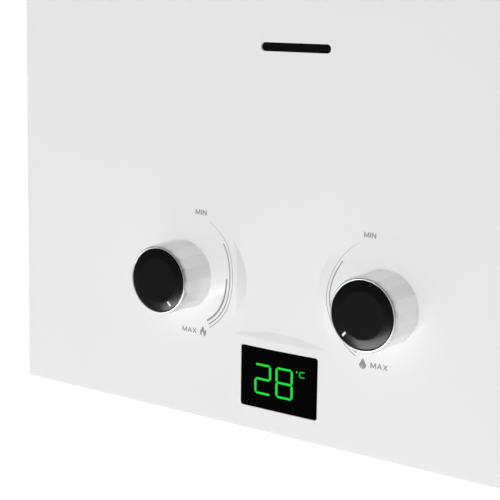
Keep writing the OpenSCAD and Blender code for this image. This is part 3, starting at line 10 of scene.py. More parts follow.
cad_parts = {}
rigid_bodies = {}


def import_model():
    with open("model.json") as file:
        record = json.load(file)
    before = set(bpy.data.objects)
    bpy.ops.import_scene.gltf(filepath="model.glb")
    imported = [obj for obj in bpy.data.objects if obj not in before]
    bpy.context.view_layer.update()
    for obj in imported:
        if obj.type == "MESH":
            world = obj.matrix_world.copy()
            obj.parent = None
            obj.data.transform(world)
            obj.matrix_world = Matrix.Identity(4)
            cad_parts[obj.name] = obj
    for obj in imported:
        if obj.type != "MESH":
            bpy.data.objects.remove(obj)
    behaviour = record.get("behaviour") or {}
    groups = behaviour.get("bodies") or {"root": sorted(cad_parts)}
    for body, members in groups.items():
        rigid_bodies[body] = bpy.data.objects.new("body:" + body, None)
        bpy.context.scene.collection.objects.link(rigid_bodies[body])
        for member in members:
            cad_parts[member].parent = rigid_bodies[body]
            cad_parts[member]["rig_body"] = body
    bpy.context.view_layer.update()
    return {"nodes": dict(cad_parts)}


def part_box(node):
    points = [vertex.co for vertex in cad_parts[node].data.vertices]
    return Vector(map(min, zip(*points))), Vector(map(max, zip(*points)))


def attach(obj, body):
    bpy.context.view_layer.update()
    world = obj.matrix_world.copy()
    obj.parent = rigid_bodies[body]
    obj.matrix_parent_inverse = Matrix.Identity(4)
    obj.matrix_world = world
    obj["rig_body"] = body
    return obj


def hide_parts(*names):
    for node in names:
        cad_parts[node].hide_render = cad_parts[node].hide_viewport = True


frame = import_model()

bl_info = {
    "name": "Tankless Water Heater",
    "version": (1, 0, 0),
    "blender": (4, 5, 0),
    "location": "3D View > Sidebar > Heater",
    "description": "Dresses the solids of a gas water heater with fine shapes and finishes",
    "category": "Object",
}

NODES = frame["nodes"]
SLOT_OF = {name: node.data.materials[0].name for name, node in NODES.items()}
BODY_OF = {name: node["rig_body"] for name, node in NODES.items()}
MERGE = 1e-6
FLAT_ANGLE = math.radians(0.3)
FACING = 0.8
UPSIDE_DOWN = Matrix.Rotation(math.radians(180), 4, "X")

# Pressed pads of the panel: middle of the fold, way to the apex, half width, apex, fold, run, slope, run-out
PADS = (
    ((0.0, 0.0404), (0.0, 1.0), 0.0245, 0.0036, 0.0, 0.036, 0.26, 1),
    ((-0.0266, 0.063), (1.0, 0.0), 0.0195, 0.0095, 0.0053, 0.060, 0.45, 2),
    ((0.0266, 0.063), (-1.0, 0.0), 0.0195, 0.0095, 0.0053, 0.060, 0.45, 2),
)
# Bounds of the panel's cuts, across and upwards; every second stretch is cut finely
CUTS_X = (-0.090, -0.0285, -0.0155, 0.0155, 0.0285, 0.090)
CUTS_Z = (0.003, 0.0395, 0.083, 0.087)
PANEL_Y = -0.125

GAS_ANGLE = math.radians(-56)
WATER_ANGLE = math.radians(228)
KNOB_R = 0.015
KNOB_FACETS = 18
KNOB_BEVEL = 0.0008
KNOB_BEVEL_L = 0.002
FACET_STEPS = 20
LIP_SOFT = 0.00022
SKIRT_SOFT = 0.00012
# Facets' tone: a step from facet to facet that looks random, then the share of painted shade, darker on top
# and lighter below
POLISH_STEP = 0.382
PAINTED_SHADE_SHARE = 0.6
SKIRT_WEB = 0.002
SKIRT_INNER_R = 0.0123
HUB_R = 0.0055
SPINDLE_R = 0.003
CAP_R = 0.0135
CAP_FLAT_R = 0.0093
CAP_DROP = 0.0008
CAP_CURVE = 0.45
CAP_RINGS = 8
CAP_STEPS = 96
CAP_EDGE = 0.0002
CAP_SOFT = 0.00015
POINTER_R = 0.0101
POINTER_L = 0.0023
POINTER_W = 0.0009
POINTER_PROUD = 0.00005
POINTER_SINK = 0.0006
POINTER_SOFT = 0.00008
FIT = 0.00005

# Bands of the scales: width, radius, first and last angle, share of the width at the first end
SCALE_ARCS = (
    (0.00034, 0.02640, 61, -60, 0.3),
    (0.00050, 0.02500, 36, -59, 0.9),
    (0.00080, 0.02330, 0, -59, 1.0),
)
SCALE_WORDS = {
    "gas_scale": (("MIN", -0.0416, 0.0898, 0.0060, 0.0024), ("MAX", -0.0471, 0.0376, 0.0077, 0.0024)),
    "water_scale": (("MIN", 0.0412, 0.0895, 0.0054, 0.0024), ("MAX", 0.0472, 0.0376, 0.0077, 0.0024)),
}
FLAME = (
    ((-0.07, 0.50), (0.12, 0.32), (0.19, 0.08), (0.30, 0.03), (0.44, 0.20), (0.48, -0.10), (0.20, -0.50),
     (0.07, -0.26), (-0.11, -0.08), (-0.26, -0.22), (-0.16, -0.44), (-0.42, -0.30), (-0.42, 0.02),
     (-0.19, 0.27)),
)
DROP = (
    ((0.0, 0.50), (0.20, 0.12), (0.32, -0.20), (0.0, -0.50), (-0.32, -0.20), (-0.20, 0.12)),
    ((-0.22, -0.16), (-0.19, -0.30), (-0.06, -0.40), (-0.13, -0.28)),
)
SCALE_SIGNS = {
    "gas_scale": (FLAME, -0.0396, 0.0380, 0.0033, 0.0043),
    "water_scale": (DROP, 0.0398, 0.0377, 0.0032, 0.0045),
}
# Letters in plain strokes: width over height, then the strokes' ends
LETTERS = {
    "M": (0.92, (((0, 0), (0, 1)), ((0, 1), (0.5, 0.08)), ((0.5, 0.08), (1, 1)), ((1, 1), (1, 0)))),
    "I": (0.0, (((0, 0), (0, 1)),)),
    "N": (0.72, (((0, 0), (0, 1)), ((0, 1), (1, 0)), ((1, 0), (1, 1)))),
    "A": (0.80, (((0, 0), (0.5, 1)), ((0.5, 1), (1, 0)), ((0.2, 0.33), (0.8, 0.33)))),
    "X": (0.74, (((0, 0), (1, 1)), ((0, 1), (1, 0)))),
}
PRINT_RISE = 0.0008
ARC_STEP = 1.5
LETTER_GAP = 0.36
LETTER_STROKE = 0.19
DIGIT_Z = (0.0166, 0.0299)
# Figures: left, right, lit bars; then the bars of the unit: length, width, X, Z, upright
DIGITS = ((-0.0120, -0.0035, "abged"), (-0.00135, 0.0073, "abcdefg"))
UNIT_BARS = (
    (0.0010, 0.0008, 0.0092, 0.0294, True), (0.0023, 0.00036, 0.01185, 0.02970, False),
    (0.0023, 0.00036, 0.01185, 0.02750, False), (0.0022, 0.00036, 0.01060, 0.02860, True),
)
LIT_PROUD = 0.00003
LIT_DEPTH = 0.00008
LENS_SOFT = 0.0003
LEVEL_SHARE = 0.85
SEGMENT_GAP = 0.00022

SCREW_HEAD_R = 0.004
SCREW_HEAD_H = 0.0015
SCREW_R = 0.002
SCREW_L = 0.007
# Head of a screw: rings and fall of its dome, then its side in shares of radius and height
SCREW_STEPS = 64
DOME_RINGS = 16
DOME_SHARE = 0.62
DOME_DROP = 0.0002
HEAD_SIDE = ((0.8, 0.80), (0.94, 0.55), (1.0, 0.25), (1.0, 0.0))
RECESS_ABOVE = 0.7
RECESS_TAPER = 0.55
RECESS_HALF = 0.00045
RECESS_L = 0.0022
RECESS_DEPTH = 0.0011
CAP_SCREW_X = 0.103
CAP_SCREW_Y = 0.010
CAP_SCREW_Z = 0.4296
NIPPLES = ("gas_inlet", "cold_inlet", "hot_outlet")
NIPPLE_R = 0.0104
NIPPLE_BORE_R = 0.0065
SHANK_R = 0.0107
NUT_SIDES = 6
NUT_AF = 0.027
NUT_FACE = 0.97
NUT_CHAMFER = 0.0010
NUT_SOFT = 0.0003
NUT_EDGE = 0.0002
NUT_STEPS = 144
# Form of a thread, in shares of its pitch: below its crest, and up
THREAD_FORM = ((0.62, 0.0), (0.62, 0.12), (0.0, 0.44), (0.0, 0.56), (0.62, 0.88), (0.62, 1.0))
THREAD_STEPS = 40
THREAD_LEAD = 0.0008
PLUG_SOFT = 0.00035
DOOR_SOFT = 0.0004
CONTACT_T = 0.0008
CONTACT_CORNER = 0.0015
SPRING_R = 0.006
SPRING_TURNS = 4
SPRING_STEPS = 28
WIRE_SIDES = 10
# A cell: rings of its foot and crimp in shares of its radius, then its profile's corners and their rounding
CELL_STEPS = 72
CELL_FOOT = (0.62, 0.66)
CELL_CRIMP = (0.86, 0.80)
CELL_ROUNDING = (((3, 4), 0.0009), ((9,), 0.0005), ((2, 5, 8), 0.0002))
CELL_DISH = 0.0004
CELL_STEP = 0.0008
NUB_R = 0.00475
NUB_L = 0.0015
NUB_FOOT = 1.25
BAND_L = 0.016
BAND_SOFT = 0.0004
BARE_L = 0.0018

CAMERA_YAW = math.radians(34.965)
CAMERA_PITCH = math.radians(9.059)
CAMERA_ROLL = math.radians(1.111)
CAMERA_SPOT = (0.28754, -0.55931, 0.17659)
CAMERA_SHIFT = -0.07

# Floor: half its side, its greys for light and for the camera, and where it and the sky fall off in mirrors
FLOOR_HALF = 12.0
FLOOR_GREY = 0.80
FLOOR_SHADED = 0.45
FLOOR_GLOW = 0.75
FLOOR_FALL = (-1.0, 1.0)
SKY_FALL = (0.1, 0.75)

# Plain finishes: colour or the property that holds it, metal, roughness, specular level, then noise in
# the tone (share, noise), the roughness (least, most, noise) and the surface (strength, depth, noise),
# each of which may be empty. Noise is scale per metre, detail, roughness and stretch.
BRUSHED = (900, 5.0, 0.7, (0.02, 1, 1))
RINGS = (300, 3.0, 0.5, (0.05, 0.05, 4))
DRAWN = (2.0, 0.5, (1, 0.1, 1))
PLAIN = {
    "white_enamel": ("enamel", 0, 0.2, 0.5, (0.006, 9, 1.0), (0.17, 0.23, 160), (0.05, 0.00008, 520, 1.0)),
    "pointer_white": ("pointer", 0, 0.4, 0.5, (0.02, 1200), (), (0.1, 0.00002, 3000)),
    "panel_ink": ("ink", 0, 0.45, 0.5, (0.08, 1600, 3.0), (0.38, 0.5, 2400), ()),
    "display_black": ("lens", 0, 0.12, 0.04, (), (0.10, 0.15, 300), (0.02, 0.00003, 240, 1.0)),
    "stainless": (
        (0.60, 0.59, 0.57), 1, 0.3, 0.5, (0.05, 25), (0.24, 0.38, *BRUSHED), (0.12, 0.00003, *BRUSHED)),
    "screw_steel": (
        (0.64, 0.64, 0.62), 1, 0.26, 0.5, (0.10, 420, 3.0), (0.2, 0.36, 800, 3.0), (0.08, 0.00003, 2600)),
    "contact_steel": (
        (0.70, 0.68, 0.64), 1, 0.2, 0.5, (0.06, 300, 3.0), (0.14, 0.28, 900, *DRAWN),
        (0.05, 0.00002, 1600, *DRAWN)),
    "brass": (
        (0.78, 0.58, 0.27), 1, 0.25, 0.5, (0.08, 60, 3.0), (0.18, 0.34, *RINGS), (0.06, 0.00003, *RINGS)),
    "die_cast": (
        (0.50, 0.51, 0.52), 1, 0.5, 0.5, (0.08, 90, 4.0), (0.42, 0.6, 500, 3.0), (0.25, 0.00010, 1400, 3.0)),
    "black_plastic": (
        (0.014, 0.014, 0.015), 0, 0.5, 0.5, (0.2, 120), (0.42, 0.6, 1500), (0.2, 0.00006, 2600)),
    "white_plastic": (
        (0.74, 0.74, 0.72), 0, 0.4, 0.5, (0.015, 40), (0.34, 0.48, 1300), (0.12, 0.00005, 2400)),
    "rubber": ((0.012, 0.012, 0.012), 0, 0.8, 0.3, (0.3, 200, 3.0), (), (0.2, 0.00006, 1800, 3.0)),
    "lead_red": ((0.45, 0.025, 0.018), 0, 0.45, 0.5, (0.08, 260), (), (0.08, 0.00004, 2000)),
    "ceramic": ((0.80, 0.77, 0.70), 0, 0.22, 0.5, (0.04, 340, 4.0), (0.16, 0.3, 500), (0.05, 0.00004, 1200)),
    "led_grey": ((0.32, 0.32, 0.33), 0, 0.5, 0.5, (0.04, 200), (), (0.1, 0.00004, 1800)),
    "sight_glass": ((0.004, 0.004, 0.004), 0, 0.2, 0.1, (), (0.14, 0.3, 180, 3.0), (0.03, 0.00005, 150)),
}
UNLIT = (0.004, 0.02, 0.006, 1.0)

# Lamps: name, place, what it points at, size, property of its power, pieces that it lights if not all
LAMPS = (
    ("key_lamp", (-0.80, -2.80, -1.54), (0.0, -0.14, 0.06), (1.9, 1.2), "key_power", ()),
    ("knob_lamp", (-0.52, -1.93, -1.30), (0.0, -0.14, 0.06), (1.6, 0.8), "knob_power",
     ("gas_knob_cap", "gas_knob_skirt", "water_knob_cap", "water_knob_skirt")),
)


def colour_prop(name, description, default):
    """A linear colour that a user may change."""
    return FloatVectorProperty(
        name=name, description=description, default=default, size=3, min=0.0, max=1.0, subtype="COLOR"
    )


def length_prop(name, description, default):
    """A length in metres that a user may change."""
    return FloatProperty(
        name=name, description=description, default=default, precision=5, subtype="DISTANCE", unit="LENGTH"
    )


def number_prop(name, description, default, subtype="NONE"):
    """A number from zero up that a user may change."""
    return FloatProperty(name=name, description=description, default=default, min=0.0, subtype=subtype)


class HeaterColours(bpy.types.PropertyGroup):
    """Colours of the finishes"""

    enamel: colour_prop("Enamel", "Baked enamel of the cover", (0.80, 0.80, 0.80))
    chrome: colour_prop("Chrome", "Plating of the knob skirts", (0.77, 0.77, 0.775))
    cap: colour_prop("Cap", "Moulded caps of the knobs", (0.002, 0.002, 0.002))
    pointer: colour_prop("Pointer", "Inlaid pointers of the knobs", (0.86, 0.86, 0.86))
    ink: colour_prop("Ink", "Printed scales and words", (0.28, 0.28, 0.29))
    lens: colour_prop("Lens", "Smoked lens of the display", (0.0006, 0.0006, 0.0006))
    lit: colour_prop("Lit segments", "Light of the display", (0.0095, 0.75, 0.05))


class HeaterSizes(bpy.types.PropertyGroup):
    """Sizes of the fine shapes"""

    panel_step: length_prop("Panel step", "Spacing of the cuts across the pressed pads", 0.00125)
    crease_step: length_prop("Crease step", "Spacing of the cuts near the creases", 0.00045)
    crease: length_prop("Crease", "Height over which a crease is rounded", 0.00008)
    ink_proud: length_prop("Ink height", "How far the print stands on the panel", 0.00004)
    ink_depth: length_prop("Ink depth", "Thickness of the print", 0.00010)
    facet_soft: length_prop("Facet edge", "Softness of the edges between facets", 0.00005)
    sheet_soft: length_prop("Sheet edge", "Rounding along cut sheet edges", 0.00022)
    thread_pitch: length_prop("Thread pitch", "Pitch of the pipe threads", 0.001814)
    spring_wire: length_prop("Spring wire", "Wire of the battery springs", 0.0010)
    stroke: length_prop("Segment stroke", "Width of the display's upright bars", 0.00108)


class HeaterStage(bpy.types.PropertyGroup):
    """Floor, light and camera"""

    floor_drop: length_prop("Floor drop", "How far the floor lies below the casing", 1.9)
    key_power: number_prop("Key lamp", "Broad lamp low in front", 65.0, subtype="POWER")
    knob_power: number_prop("Knob lamp", "Lamp for the knobs alone", 42.0, subtype="POWER")
    sky: number_prop("Sky", "Level of the light from all round", 0.56)
    front: number_prop("Front", "Level that mirrors find in front", 0.12)
    lens: number_prop("Lens", "Camera's focal length", 93.152, subtype="DISTANCE_CAMERA")


def colours():
    """The colours in use."""
    return bpy.context.scene.heater_colours


def sizes():
    """The sizes in use."""
    return bpy.context.scene.heater_sizes


# Finishes

class Nodes:
    """The node tree of a material or a world, built up node by node."""

    def __init__(self, owner):
        owner.use_nodes = True
        self.tree = owner.node_tree

    def node(self, kind, **values):
        """A new node with its own settings."""
        made = self.tree.nodes.new(kind)
        for key, value in values.items():
            setattr(made, key, value)
        return made

    def link(self, start, end):
        """Joins two sockets."""
        self.tree.links.new(start, end)

    def feed(self, port, value):
        """Joins a socket to a pattern, or sets it."""
        if hasattr(value, "is_output"):
            self.link(value, port)
        else:
            port.default_value = value

    def fed(self, kind, **inputs):
        """A new node with its inputs set or joined."""
        made = self.node(kind)
        for socket, value in inputs.items():
            self.feed(made.inputs[socket], value)
        return made

    def spread(self, pattern, low, high, start=0.3, end=0.7):
        """Carries a pattern onto a range of numbers."""
        ends = {"From Min": start, "From Max": end, "To Min": low, "To Max": high}
        return self.fed("ShaderNodeMapRange", Value=pattern, **ends).outputs["Result"]

    def apart(self, place):
        """The three parts of a place."""
        return self.fed("ShaderNodeSeparateXYZ", Vector=place).outputs

    def grey(self, kind, level):
        """A shader of one grey."""
        return self.fed(kind, Color=(level, level, level, 1.0))

    def highest(self, level, *others):
        """The highest of some levels, up to one."""
        for other in others:
            most = self.node("ShaderNodeMath", operation="MAXIMUM", use_clamp=True)
            self.link(level, most.inputs[0])
            self.link(other, most.inputs[1])
            level = most.outputs["Value"]
        return level

    def dim_in_front(self, coords, low, start, end):
        """A level that is one for the camera and, in mirrors that it sees, falls towards the front."""
        place = self.node("ShaderNodeTexCoord").outputs[coords]
        path = self.node("ShaderNodeLightPath").outputs
        fall = self.spread(self.apart(place)["Y"], low, 1.0, start, end)
        return self.highest(fall, path["Is Camera Ray"], path["Diffuse Depth"])

    def show(self, output, unseen, seen):
        """One shader for the light, and another for the camera, for mirrors and for glass."""
        path = self.node("ShaderNodeLightPath").outputs
        mix = self.node("ShaderNodeMixShader")
        directly = self.highest(path["Is Camera Ray"], path["Is Glossy Ray"], path["Is Transmission Ray"])
        self.link(directly, mix.inputs["Fac"])
        self.link(unseen, mix.inputs[1])
        self.link(seen, mix.inputs[2])
        self.link(mix.outputs["Shader"], self.tree.nodes[output].inputs["Surface"])


class Finish(Nodes):
    """One procedural material, built up pattern by pattern."""

    def __init__(self, name, colour, metallic=0.0, roughness=0.5, specular=0.5):
        self.material = bpy.data.materials.new(name)
        super().__init__(self.material)
        self.shader = self.tree.nodes["Principled BSDF"]
        self.colour = tuple(colour)
        self.set("Base Color", (*self.colour, 1.0))
        self.set("Metallic", metallic)
        self.set("Roughness", roughness)
        self.set("Specular IOR Level", specular)

    def set(self, socket, value):
        """Sets a socket of the shader, or joins it to a pattern."""
        self.feed(self.shader.inputs[socket], value)

    def place(self, stretch=(1, 1, 1)):
        """Object coordinates, stretched."""
        coords = self.node("ShaderNodeTexCoord").outputs["Object"]
        return self.fed("ShaderNodeMapping", Vector=coords, Scale=stretch).outputs["Vector"]

    def noise(self, scale, detail=2.0, rough=0.5, stretch=(1, 1, 1)):
        """A cloudy pattern; scale is per metre."""
        place = self.place(stretch)
        texture = self.fed("ShaderNodeTexNoise", Vector=place, Scale=scale, Detail=detail, Roughness=rough)
        return texture.outputs["Fac"]

    def cells(self, scale, stretch=(1, 1, 1)):
        """A pattern of random cells; scale is per metre."""
        texture = self.fed("ShaderNodeTexVoronoi", Vector=self.place(stretch), Scale=scale)
        return self.fed("ShaderNodeSeparateColor", Color=texture.outputs["Color"]).outputs["Red"]

    def blend(self, pattern, first, second, start=0.35, end=0.65):
        """Mixes two colours, or a colour over an earlier mix, by a pattern."""
        mix = self.node("ShaderNodeMix", data_type="RGBA")
        self.link(self.spread(pattern, 0.0, 1.0, start, end), mix.inputs["Factor"])
        for socket, value in (("A", first), ("B", second)):
            port = next(s for s in mix.inputs if s.name == socket and s.type == "RGBA")
            self.feed(port, value if hasattr(value, "is_output") else (*value, 1.0))
        return next(s for s in mix.outputs if s.type == "RGBA")

    def shade(self, share):
        """The base colour made darker or lighter."""
        return tuple(min(1.0, c * share) for c in self.colour)

    def tone(self, pattern, share):
        """Varies the base colour a little by a pattern."""
        self.paint(self.blend(pattern, self.shade(1 - share), self.shade(1 + share)))

    def paint(self, colour):
        """Gives the shader a colour that varies."""
        self.set("Base Color", colour)

    def polish(self, pattern, low, high):
        """Varies the roughness by a pattern."""
        self.set("Roughness", self.spread(pattern, low, high))

    def relief(self, pattern, strength, depth):
        """Raises the surface finely by a pattern."""
        bump = self.fed("ShaderNodeBump", Height=pattern, Strength=strength, Distance=depth)
        self.set("Normal", bump.outputs["Normal"])


def plain(name, colour, metallic, roughness, specular, tone, polish, relief):
    """A finish whose tone, gloss and surface may each vary by noise of their own."""
    if isinstance(colour, str):
        colour = getattr(colours(), colour)
    made = Finish(name, colour, metallic, roughness, specular)
    if tone:
        share, *noise = tone
        made.tone(made.noise(*noise), share)
    if polish:
        low, high, *noise = polish
        made.polish(made.noise(*noise), low, high)
    if relief:
        strength, depth, *noise = relief
        made.relief(made.noise(*noise), strength, depth)
    return made


def chrome(name):
    """Satin plating whose facets each take a random tone, over painted shade that darkens the facets on top
    and lightens those below.
    """
    made = Finish(name, colours().chrome, metallic=1.0, roughness=0.32)
    # The polish attribute holds each facet's random tone plus painted shade, darker on top and lighter below
    ground = made.node("ShaderNodeAttribute", attribute_name="polish").outputs["Fac"]
    made.paint(made.blend(ground, made.shade(0.88), made.shade(1.22), 0.0, 1.0))
    made.polish(made.noise(900, 4.0), 0.30, 0.34)
    return made


def knob_black(name):
    """Finely grained black with a dull gloss."""
    made = Finish(name, colours().cap, roughness=0.2, specular=0.22)
    grain = made.noise(9000, 1.0, 0.6)
    made.paint(made.blend(grain, made.colour, made.shade(2.0), 0.45, 0.75))
    made.polish(grain, 0.16, 0.26)
    made.relief(grain, 0.12, 0.00004)
    return made


def lit_segment(name):
    """Lit green bar, a little uneven."""
    made = Finish(name, colours().lit, roughness=0.5, specular=0.1)
    glow = made.blend(made.noise(1500, 1.0), made.shade(0.94), made.shade(1.06))
    made.set("Emission Color", glow)
    made.set("Emission Strength", 1.0)
    made.set("Base Color", UNLIT)
    return made


def zinc_sheet(name):
    """Galvanised sheet with a spangle."""
    made = Finish(name, (0.60, 0.62, 0.63), metallic=1.0, roughness=0.38)
    spangle = made.cells(150)
    made.paint(made.blend(spangle, (0.50, 0.52, 0.53), (0.66, 0.67, 0.68), 0.1, 0.9))
    made.set("Roughness", made.spread(spangle, 0.30, 0.46, 0.0, 1.0))
    made.relief(made.noise(900, detail=3.0), 0.06, 0.00005)
    return made


def copper(name):
    """Copper with brown oxide in clouds."""
    made = Finish(name, (0.80, 0.39, 0.24), metallic=1.0, roughness=0.3)
    clouds = made.noise(38, detail=5.0, rough=0.6)
    made.paint(made.blend(clouds, (0.83, 0.42, 0.27), (0.44, 0.18, 0.10), 0.42, 0.74))
    made.polish(clouds, 0.24, 0.46)
    made.relief(made.noise(700, detail=3.0), 0.06, 0.00005)
    return made


def board_green(name):
    """Solder mask over copper tracks."""
    made = Finish(name, (0.012, 0.12, 0.045), roughness=0.32)
    tracks = made.cells(420, stretch=(1, 1, 0.35))
    made.paint(made.blend(tracks, (0.010, 0.10, 0.038), (0.020, 0.17, 0.06), 0.55, 0.6))
    made.relief(tracks, 0.2, 0.00004)
    return made


def cell_can(name):
    """Printed wrap of a battery: dark, with a warm band at its nub, on top in front and below behind."""
    made = Finish(name, (0.02, 0.022, 0.028), metallic=0.4, roughness=0.3)
    low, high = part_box("batteries")
    half = (low.y + high.y) / 2
    spot = made.apart(made.place())
    above = made.spread(spot["Z"], 0.0, 1.0, high.z - BAND_L, high.z - BAND_L + BAND_SOFT)
    below = made.spread(spot["Z"], 1.0, 0.0, low.z + BAND_L - BAND_SOFT, low.z + BAND_L)
    band = made.spread(spot["Y"], above, below, half - BAND_SOFT, half + BAND_SOFT)
    wrap = made.node("ShaderNodeMath", operation="COMPARE")
    made.link(spot["Z"], wrap.inputs[0])
    wrap.inputs[1].default_value = (low.z + high.z) / 2
    wrap.inputs[2].default_value = (high.z - low.z) / 2 - BARE_L
    printed = made.blend(band, (0.018, 0.020, 0.026), (0.55, 0.26, 0.12), 0.4, 0.6)
    made.paint(made.blend(wrap.outputs["Value"], (0.50, 0.50, 0.49), printed))
    made.polish(made.noise(220), 0.24, 0.36)
    made.relief(made.noise(900), 0.04, 0.00003)
    return made


SPECIAL = {make.__name__: make for make in (
    chrome, knob_black, lit_segment, zinc_sheet, copper, board_green, cell_can,
)}


def finish(kind):
    """The material of that kind, made on first use."""
    name = "heater_" + kind
    found = bpy.data.materials.get(name)
    if found:
        return found
    if kind in SPECIAL:
        return SPECIAL[kind](name).material
    return plain(name, *PLAIN[kind]).material


# Shapes

def soft_min(a, b, soft):
    """The lower of two values, rounded where they cross."""
    near = max(soft - abs(a - b), 0.0) / soft
    return min(a, b) - near * near * soft / 4


def soft_max(a, b, soft):
    """The higher of two values, rounded where they cross."""
    return -soft_min(-a, -b, soft)


def pad_height(x, z, soft):
    """How far the pressed pads stand out of the panel at a point."""
    total = 0.0
    for (x0, z0), (dx, dz), half, apex, fold, run, crest, run_out in PADS:
        along = (x - x0) * dx + (z - z0) * dz
        across = (x - x0) * dz - (z - z0) * dx
        brow_rise = crest * apex
        face_rise = crest * (apex - fold)
        slope = face_rise / run
        start = face_rise - slope * fold
        brow_roll = (half * half + brow_rise * brow_rise) / (2 * brow_rise)
        brow = brow_rise - crest * along - across * across / (2 * brow_roll)
        face = (start + slope * along) * max(1 - across * across / (half * half), 0.0) ** run_out
        total += soft_max(0.0, soft_min(brow, face, soft), soft)
    return total


def weld(bm):
    """Joins points that lie together."""
    bmesh.ops.remove_doubles(bm, verts=bm.verts, dist=MERGE)


def face_outwards(bm):
    """Turns all faces outwards."""
    bmesh.ops.recalc_face_normals(bm, faces=bm.faces)


def move(bm, way):
    """Moves all of a mesh."""
    bmesh.ops.translate(bm, verts=bm.verts, vec=way)


def rotate(bm, angle, axis="Z"):
    """Turns all of a mesh about an axis."""
    bmesh.ops.rotate(bm, verts=bm.verts, matrix=Matrix.Rotation(angle, 3, axis))


def merged_copy(node):
    """A node's mesh with its triangles joined into faces."""
    bm = bmesh.new()
    bm.from_mesh(NODES[node].data)
    weld(bm)
    bmesh.ops.dissolve_limit(bm, angle_limit=FLAT_ANGLE, verts=bm.verts, edges=bm.edges)
    return bm


def bevel(bm, geom, width, segments, affect="EDGES"):
    """Rounds edges or corners."""
    bmesh.ops.bevel(
        bm, geom=geom, offset=width, offset_type="OFFSET", affect=affect, segments=segments, profile=0.5,
        material=-1, clamp_overlap=True,
    )


def spin(bm, angle, steps, rise=0.0, merge=False):
    """Spins all there is about Z, with a rise at each step."""
    bmesh.ops.spin(
        bm, geom=whole(bm), cent=(0, 0, 0), axis=(0, 0, 1), dvec=(0, 0, rise), angle=angle, steps=steps,
        use_merge=merge, use_normal_flip=False, use_duplicate=False,
    )


def cut(bm, geom, spot, normal, clear=False):
    """Cuts along a plane, and may clear what lies beyond it."""
    return bmesh.ops.bisect_plane(
        bm, geom=geom, dist=MERGE, plane_co=spot, plane_no=normal, clear_inner=False, clear_outer=clear,
    )["geom"]


def whole(bm):
    """All that a mesh holds."""
    return bm.verts[:] + bm.edges[:] + bm.faces[:]


def set_reach(vert, reach):
    """Moves a point to a distance from the Z axis."""
    share = reach / math.hypot(vert.co.x, vert.co.y)
    vert.co.x *= share
    vert.co.y *= share


def softened(node, width, segments=2, angle=40, keep=None):
    """A node's copy with its sharp edges rounded."""
    bm = merged_copy(node)
    least = math.radians(angle)
    sharp = [e for e in bm.edges if e.calc_face_angle(0.0) > least and (keep is None or keep(e))]
    bevel(bm, sharp, width, segments)
    return bm


def wire(bm, points, closed=False):
    """A chain of edges through points of radius and height, in the plane of X and Z."""
    verts = [bm.verts.new((r, 0.0, h)) for r, h in points]
    pairs = list(zip(verts, verts[1:]))
    if closed:
        pairs.append((verts[-1], verts[0]))
    edges = [bm.edges.new(pair) for pair in pairs]
    return verts, edges


def turned(points, steps, rounding=(), closed=True):
    """A shape turned about Z from a profile, some of its corners rounded first."""
    bm = bmesh.new()
    verts, _ = wire(bm, points, closed)
    for corners, width in rounding:
        bevel(bm, [verts[i] for i in corners], width, 3, affect="VERTICES")
    spin(bm, 2 * math.pi, steps, merge=True)
    weld(bm)
    face_outwards(bm)
    return bm


def facet(bm, count, corner, phase, soft):
    """Flattens a turned shape's outside to a number of facets with a corner at phase."""
    step = 2 * math.pi / count
    flat = corner * math.cos(step / 2)
    for v in bm.verts:
        r = math.hypot(v.co.x, v.co.y)
        if r < MERGE:
            continue
        turn = (math.atan2(v.co.y, v.co.x) - phase) % step - step / 2
        side = flat / math.cos(turn)
        beside = flat / math.cos(step - abs(turn))
        set_reach(v, soft_min(r, soft_min(side, beside, soft), soft))
    face_outwards(bm)


def placed(bm, matrix):
    """Carries all of a mesh to a place."""
    bmesh.ops.transform(bm, matrix=matrix, verts=bm.verts)
    return bm


def mesh_of(bm, name):
    """A mesh made of a bmesh, which is used up."""
    mesh = bpy.data.meshes.new(name)
    bm.to_mesh(mesh)
    bm.free()
    return mesh


def in_scene(name, data):
    """A new object in the scene."""
    made = bpy.data.objects.new(name, data)
    bpy.context.scene.collection.objects.link(made)
    return made


def joined(meshes):
    """One bmesh from several."""
    both = bmesh.new()
    for bm in meshes:
        part = mesh_of(bm, "part")
        both.from_mesh(part)
        bpy.data.meshes.remove(part)
    return both


def facing_front(x, z):
    """Carries a shape made about Z to the panel's front, its Z out of the panel."""
    return Matrix.Translation((x, 0, z)) @ Matrix.Rotation(math.radians(90), 4, "X")


def piece(name, bm, kind, body, replaces=(), sharp=35, weighted=False):
    """Makes an object of a mesh, with its finish, its body and the nodes that it stands for."""
    for face in bm.faces:
        face.smooth = True
    for edge in bm.edges:
        edge.smooth = edge.calc_face_angle(0.0) < math.radians(sharp)
    mesh = mesh_of(bm, name)
    stored = mesh.attributes.get("custom_normal")
    if stored:
        mesh.attributes.remove(stored)
    mesh.materials.clear()
    mesh.materials.append(finish(kind))
    made = in_scene(name, mesh)
    if weighted:
        normals = made.modifiers.new("normals", "WEIGHTED_NORMAL")
        normals.keep_sharp = True
        normals.weight = 75
    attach(made, body)
    if replaces:
        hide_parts(*replaces)
    return made


def dressed(node, bm, name=None, **options):
    """A piece that stands for one node and takes its finish and body."""
    kind = SLOT_OF[node]
    return piece(name or node + "_dressed", bm, kind, BODY_OF[node], replaces=(node,), **options)


def middle(node):
    """Middle of a node's box."""
    low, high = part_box(node)
    return (low + high) / 2


def stroke(start, end, width):
    """A flat bar between two points."""
    way = end - start
    bm = bmesh.new()
    bmesh.ops.create_grid(bm, x_segments=1, y_segments=1, size=0.5)
    bmesh.ops.scale(bm, verts=bm.verts, vec=(way.length, width, 1.0))
    rotate(bm, math.atan2(way.y, way.x))
    move(bm, (start + end) / 2)
    return bm


def words(text):
    """A flat mesh of a few letters, one unit tall."""
    bars = []
    left = 0.0
    for letter in text:
        wide, strokes = LETTERS[letter]
        for ends in strokes:
            bars.append(stroke(*(Vector((left + wide * x, y, 0.0)) for x, y in ends), LETTER_STROKE))
        left += wide + LETTER_GAP
    return joined(bars)


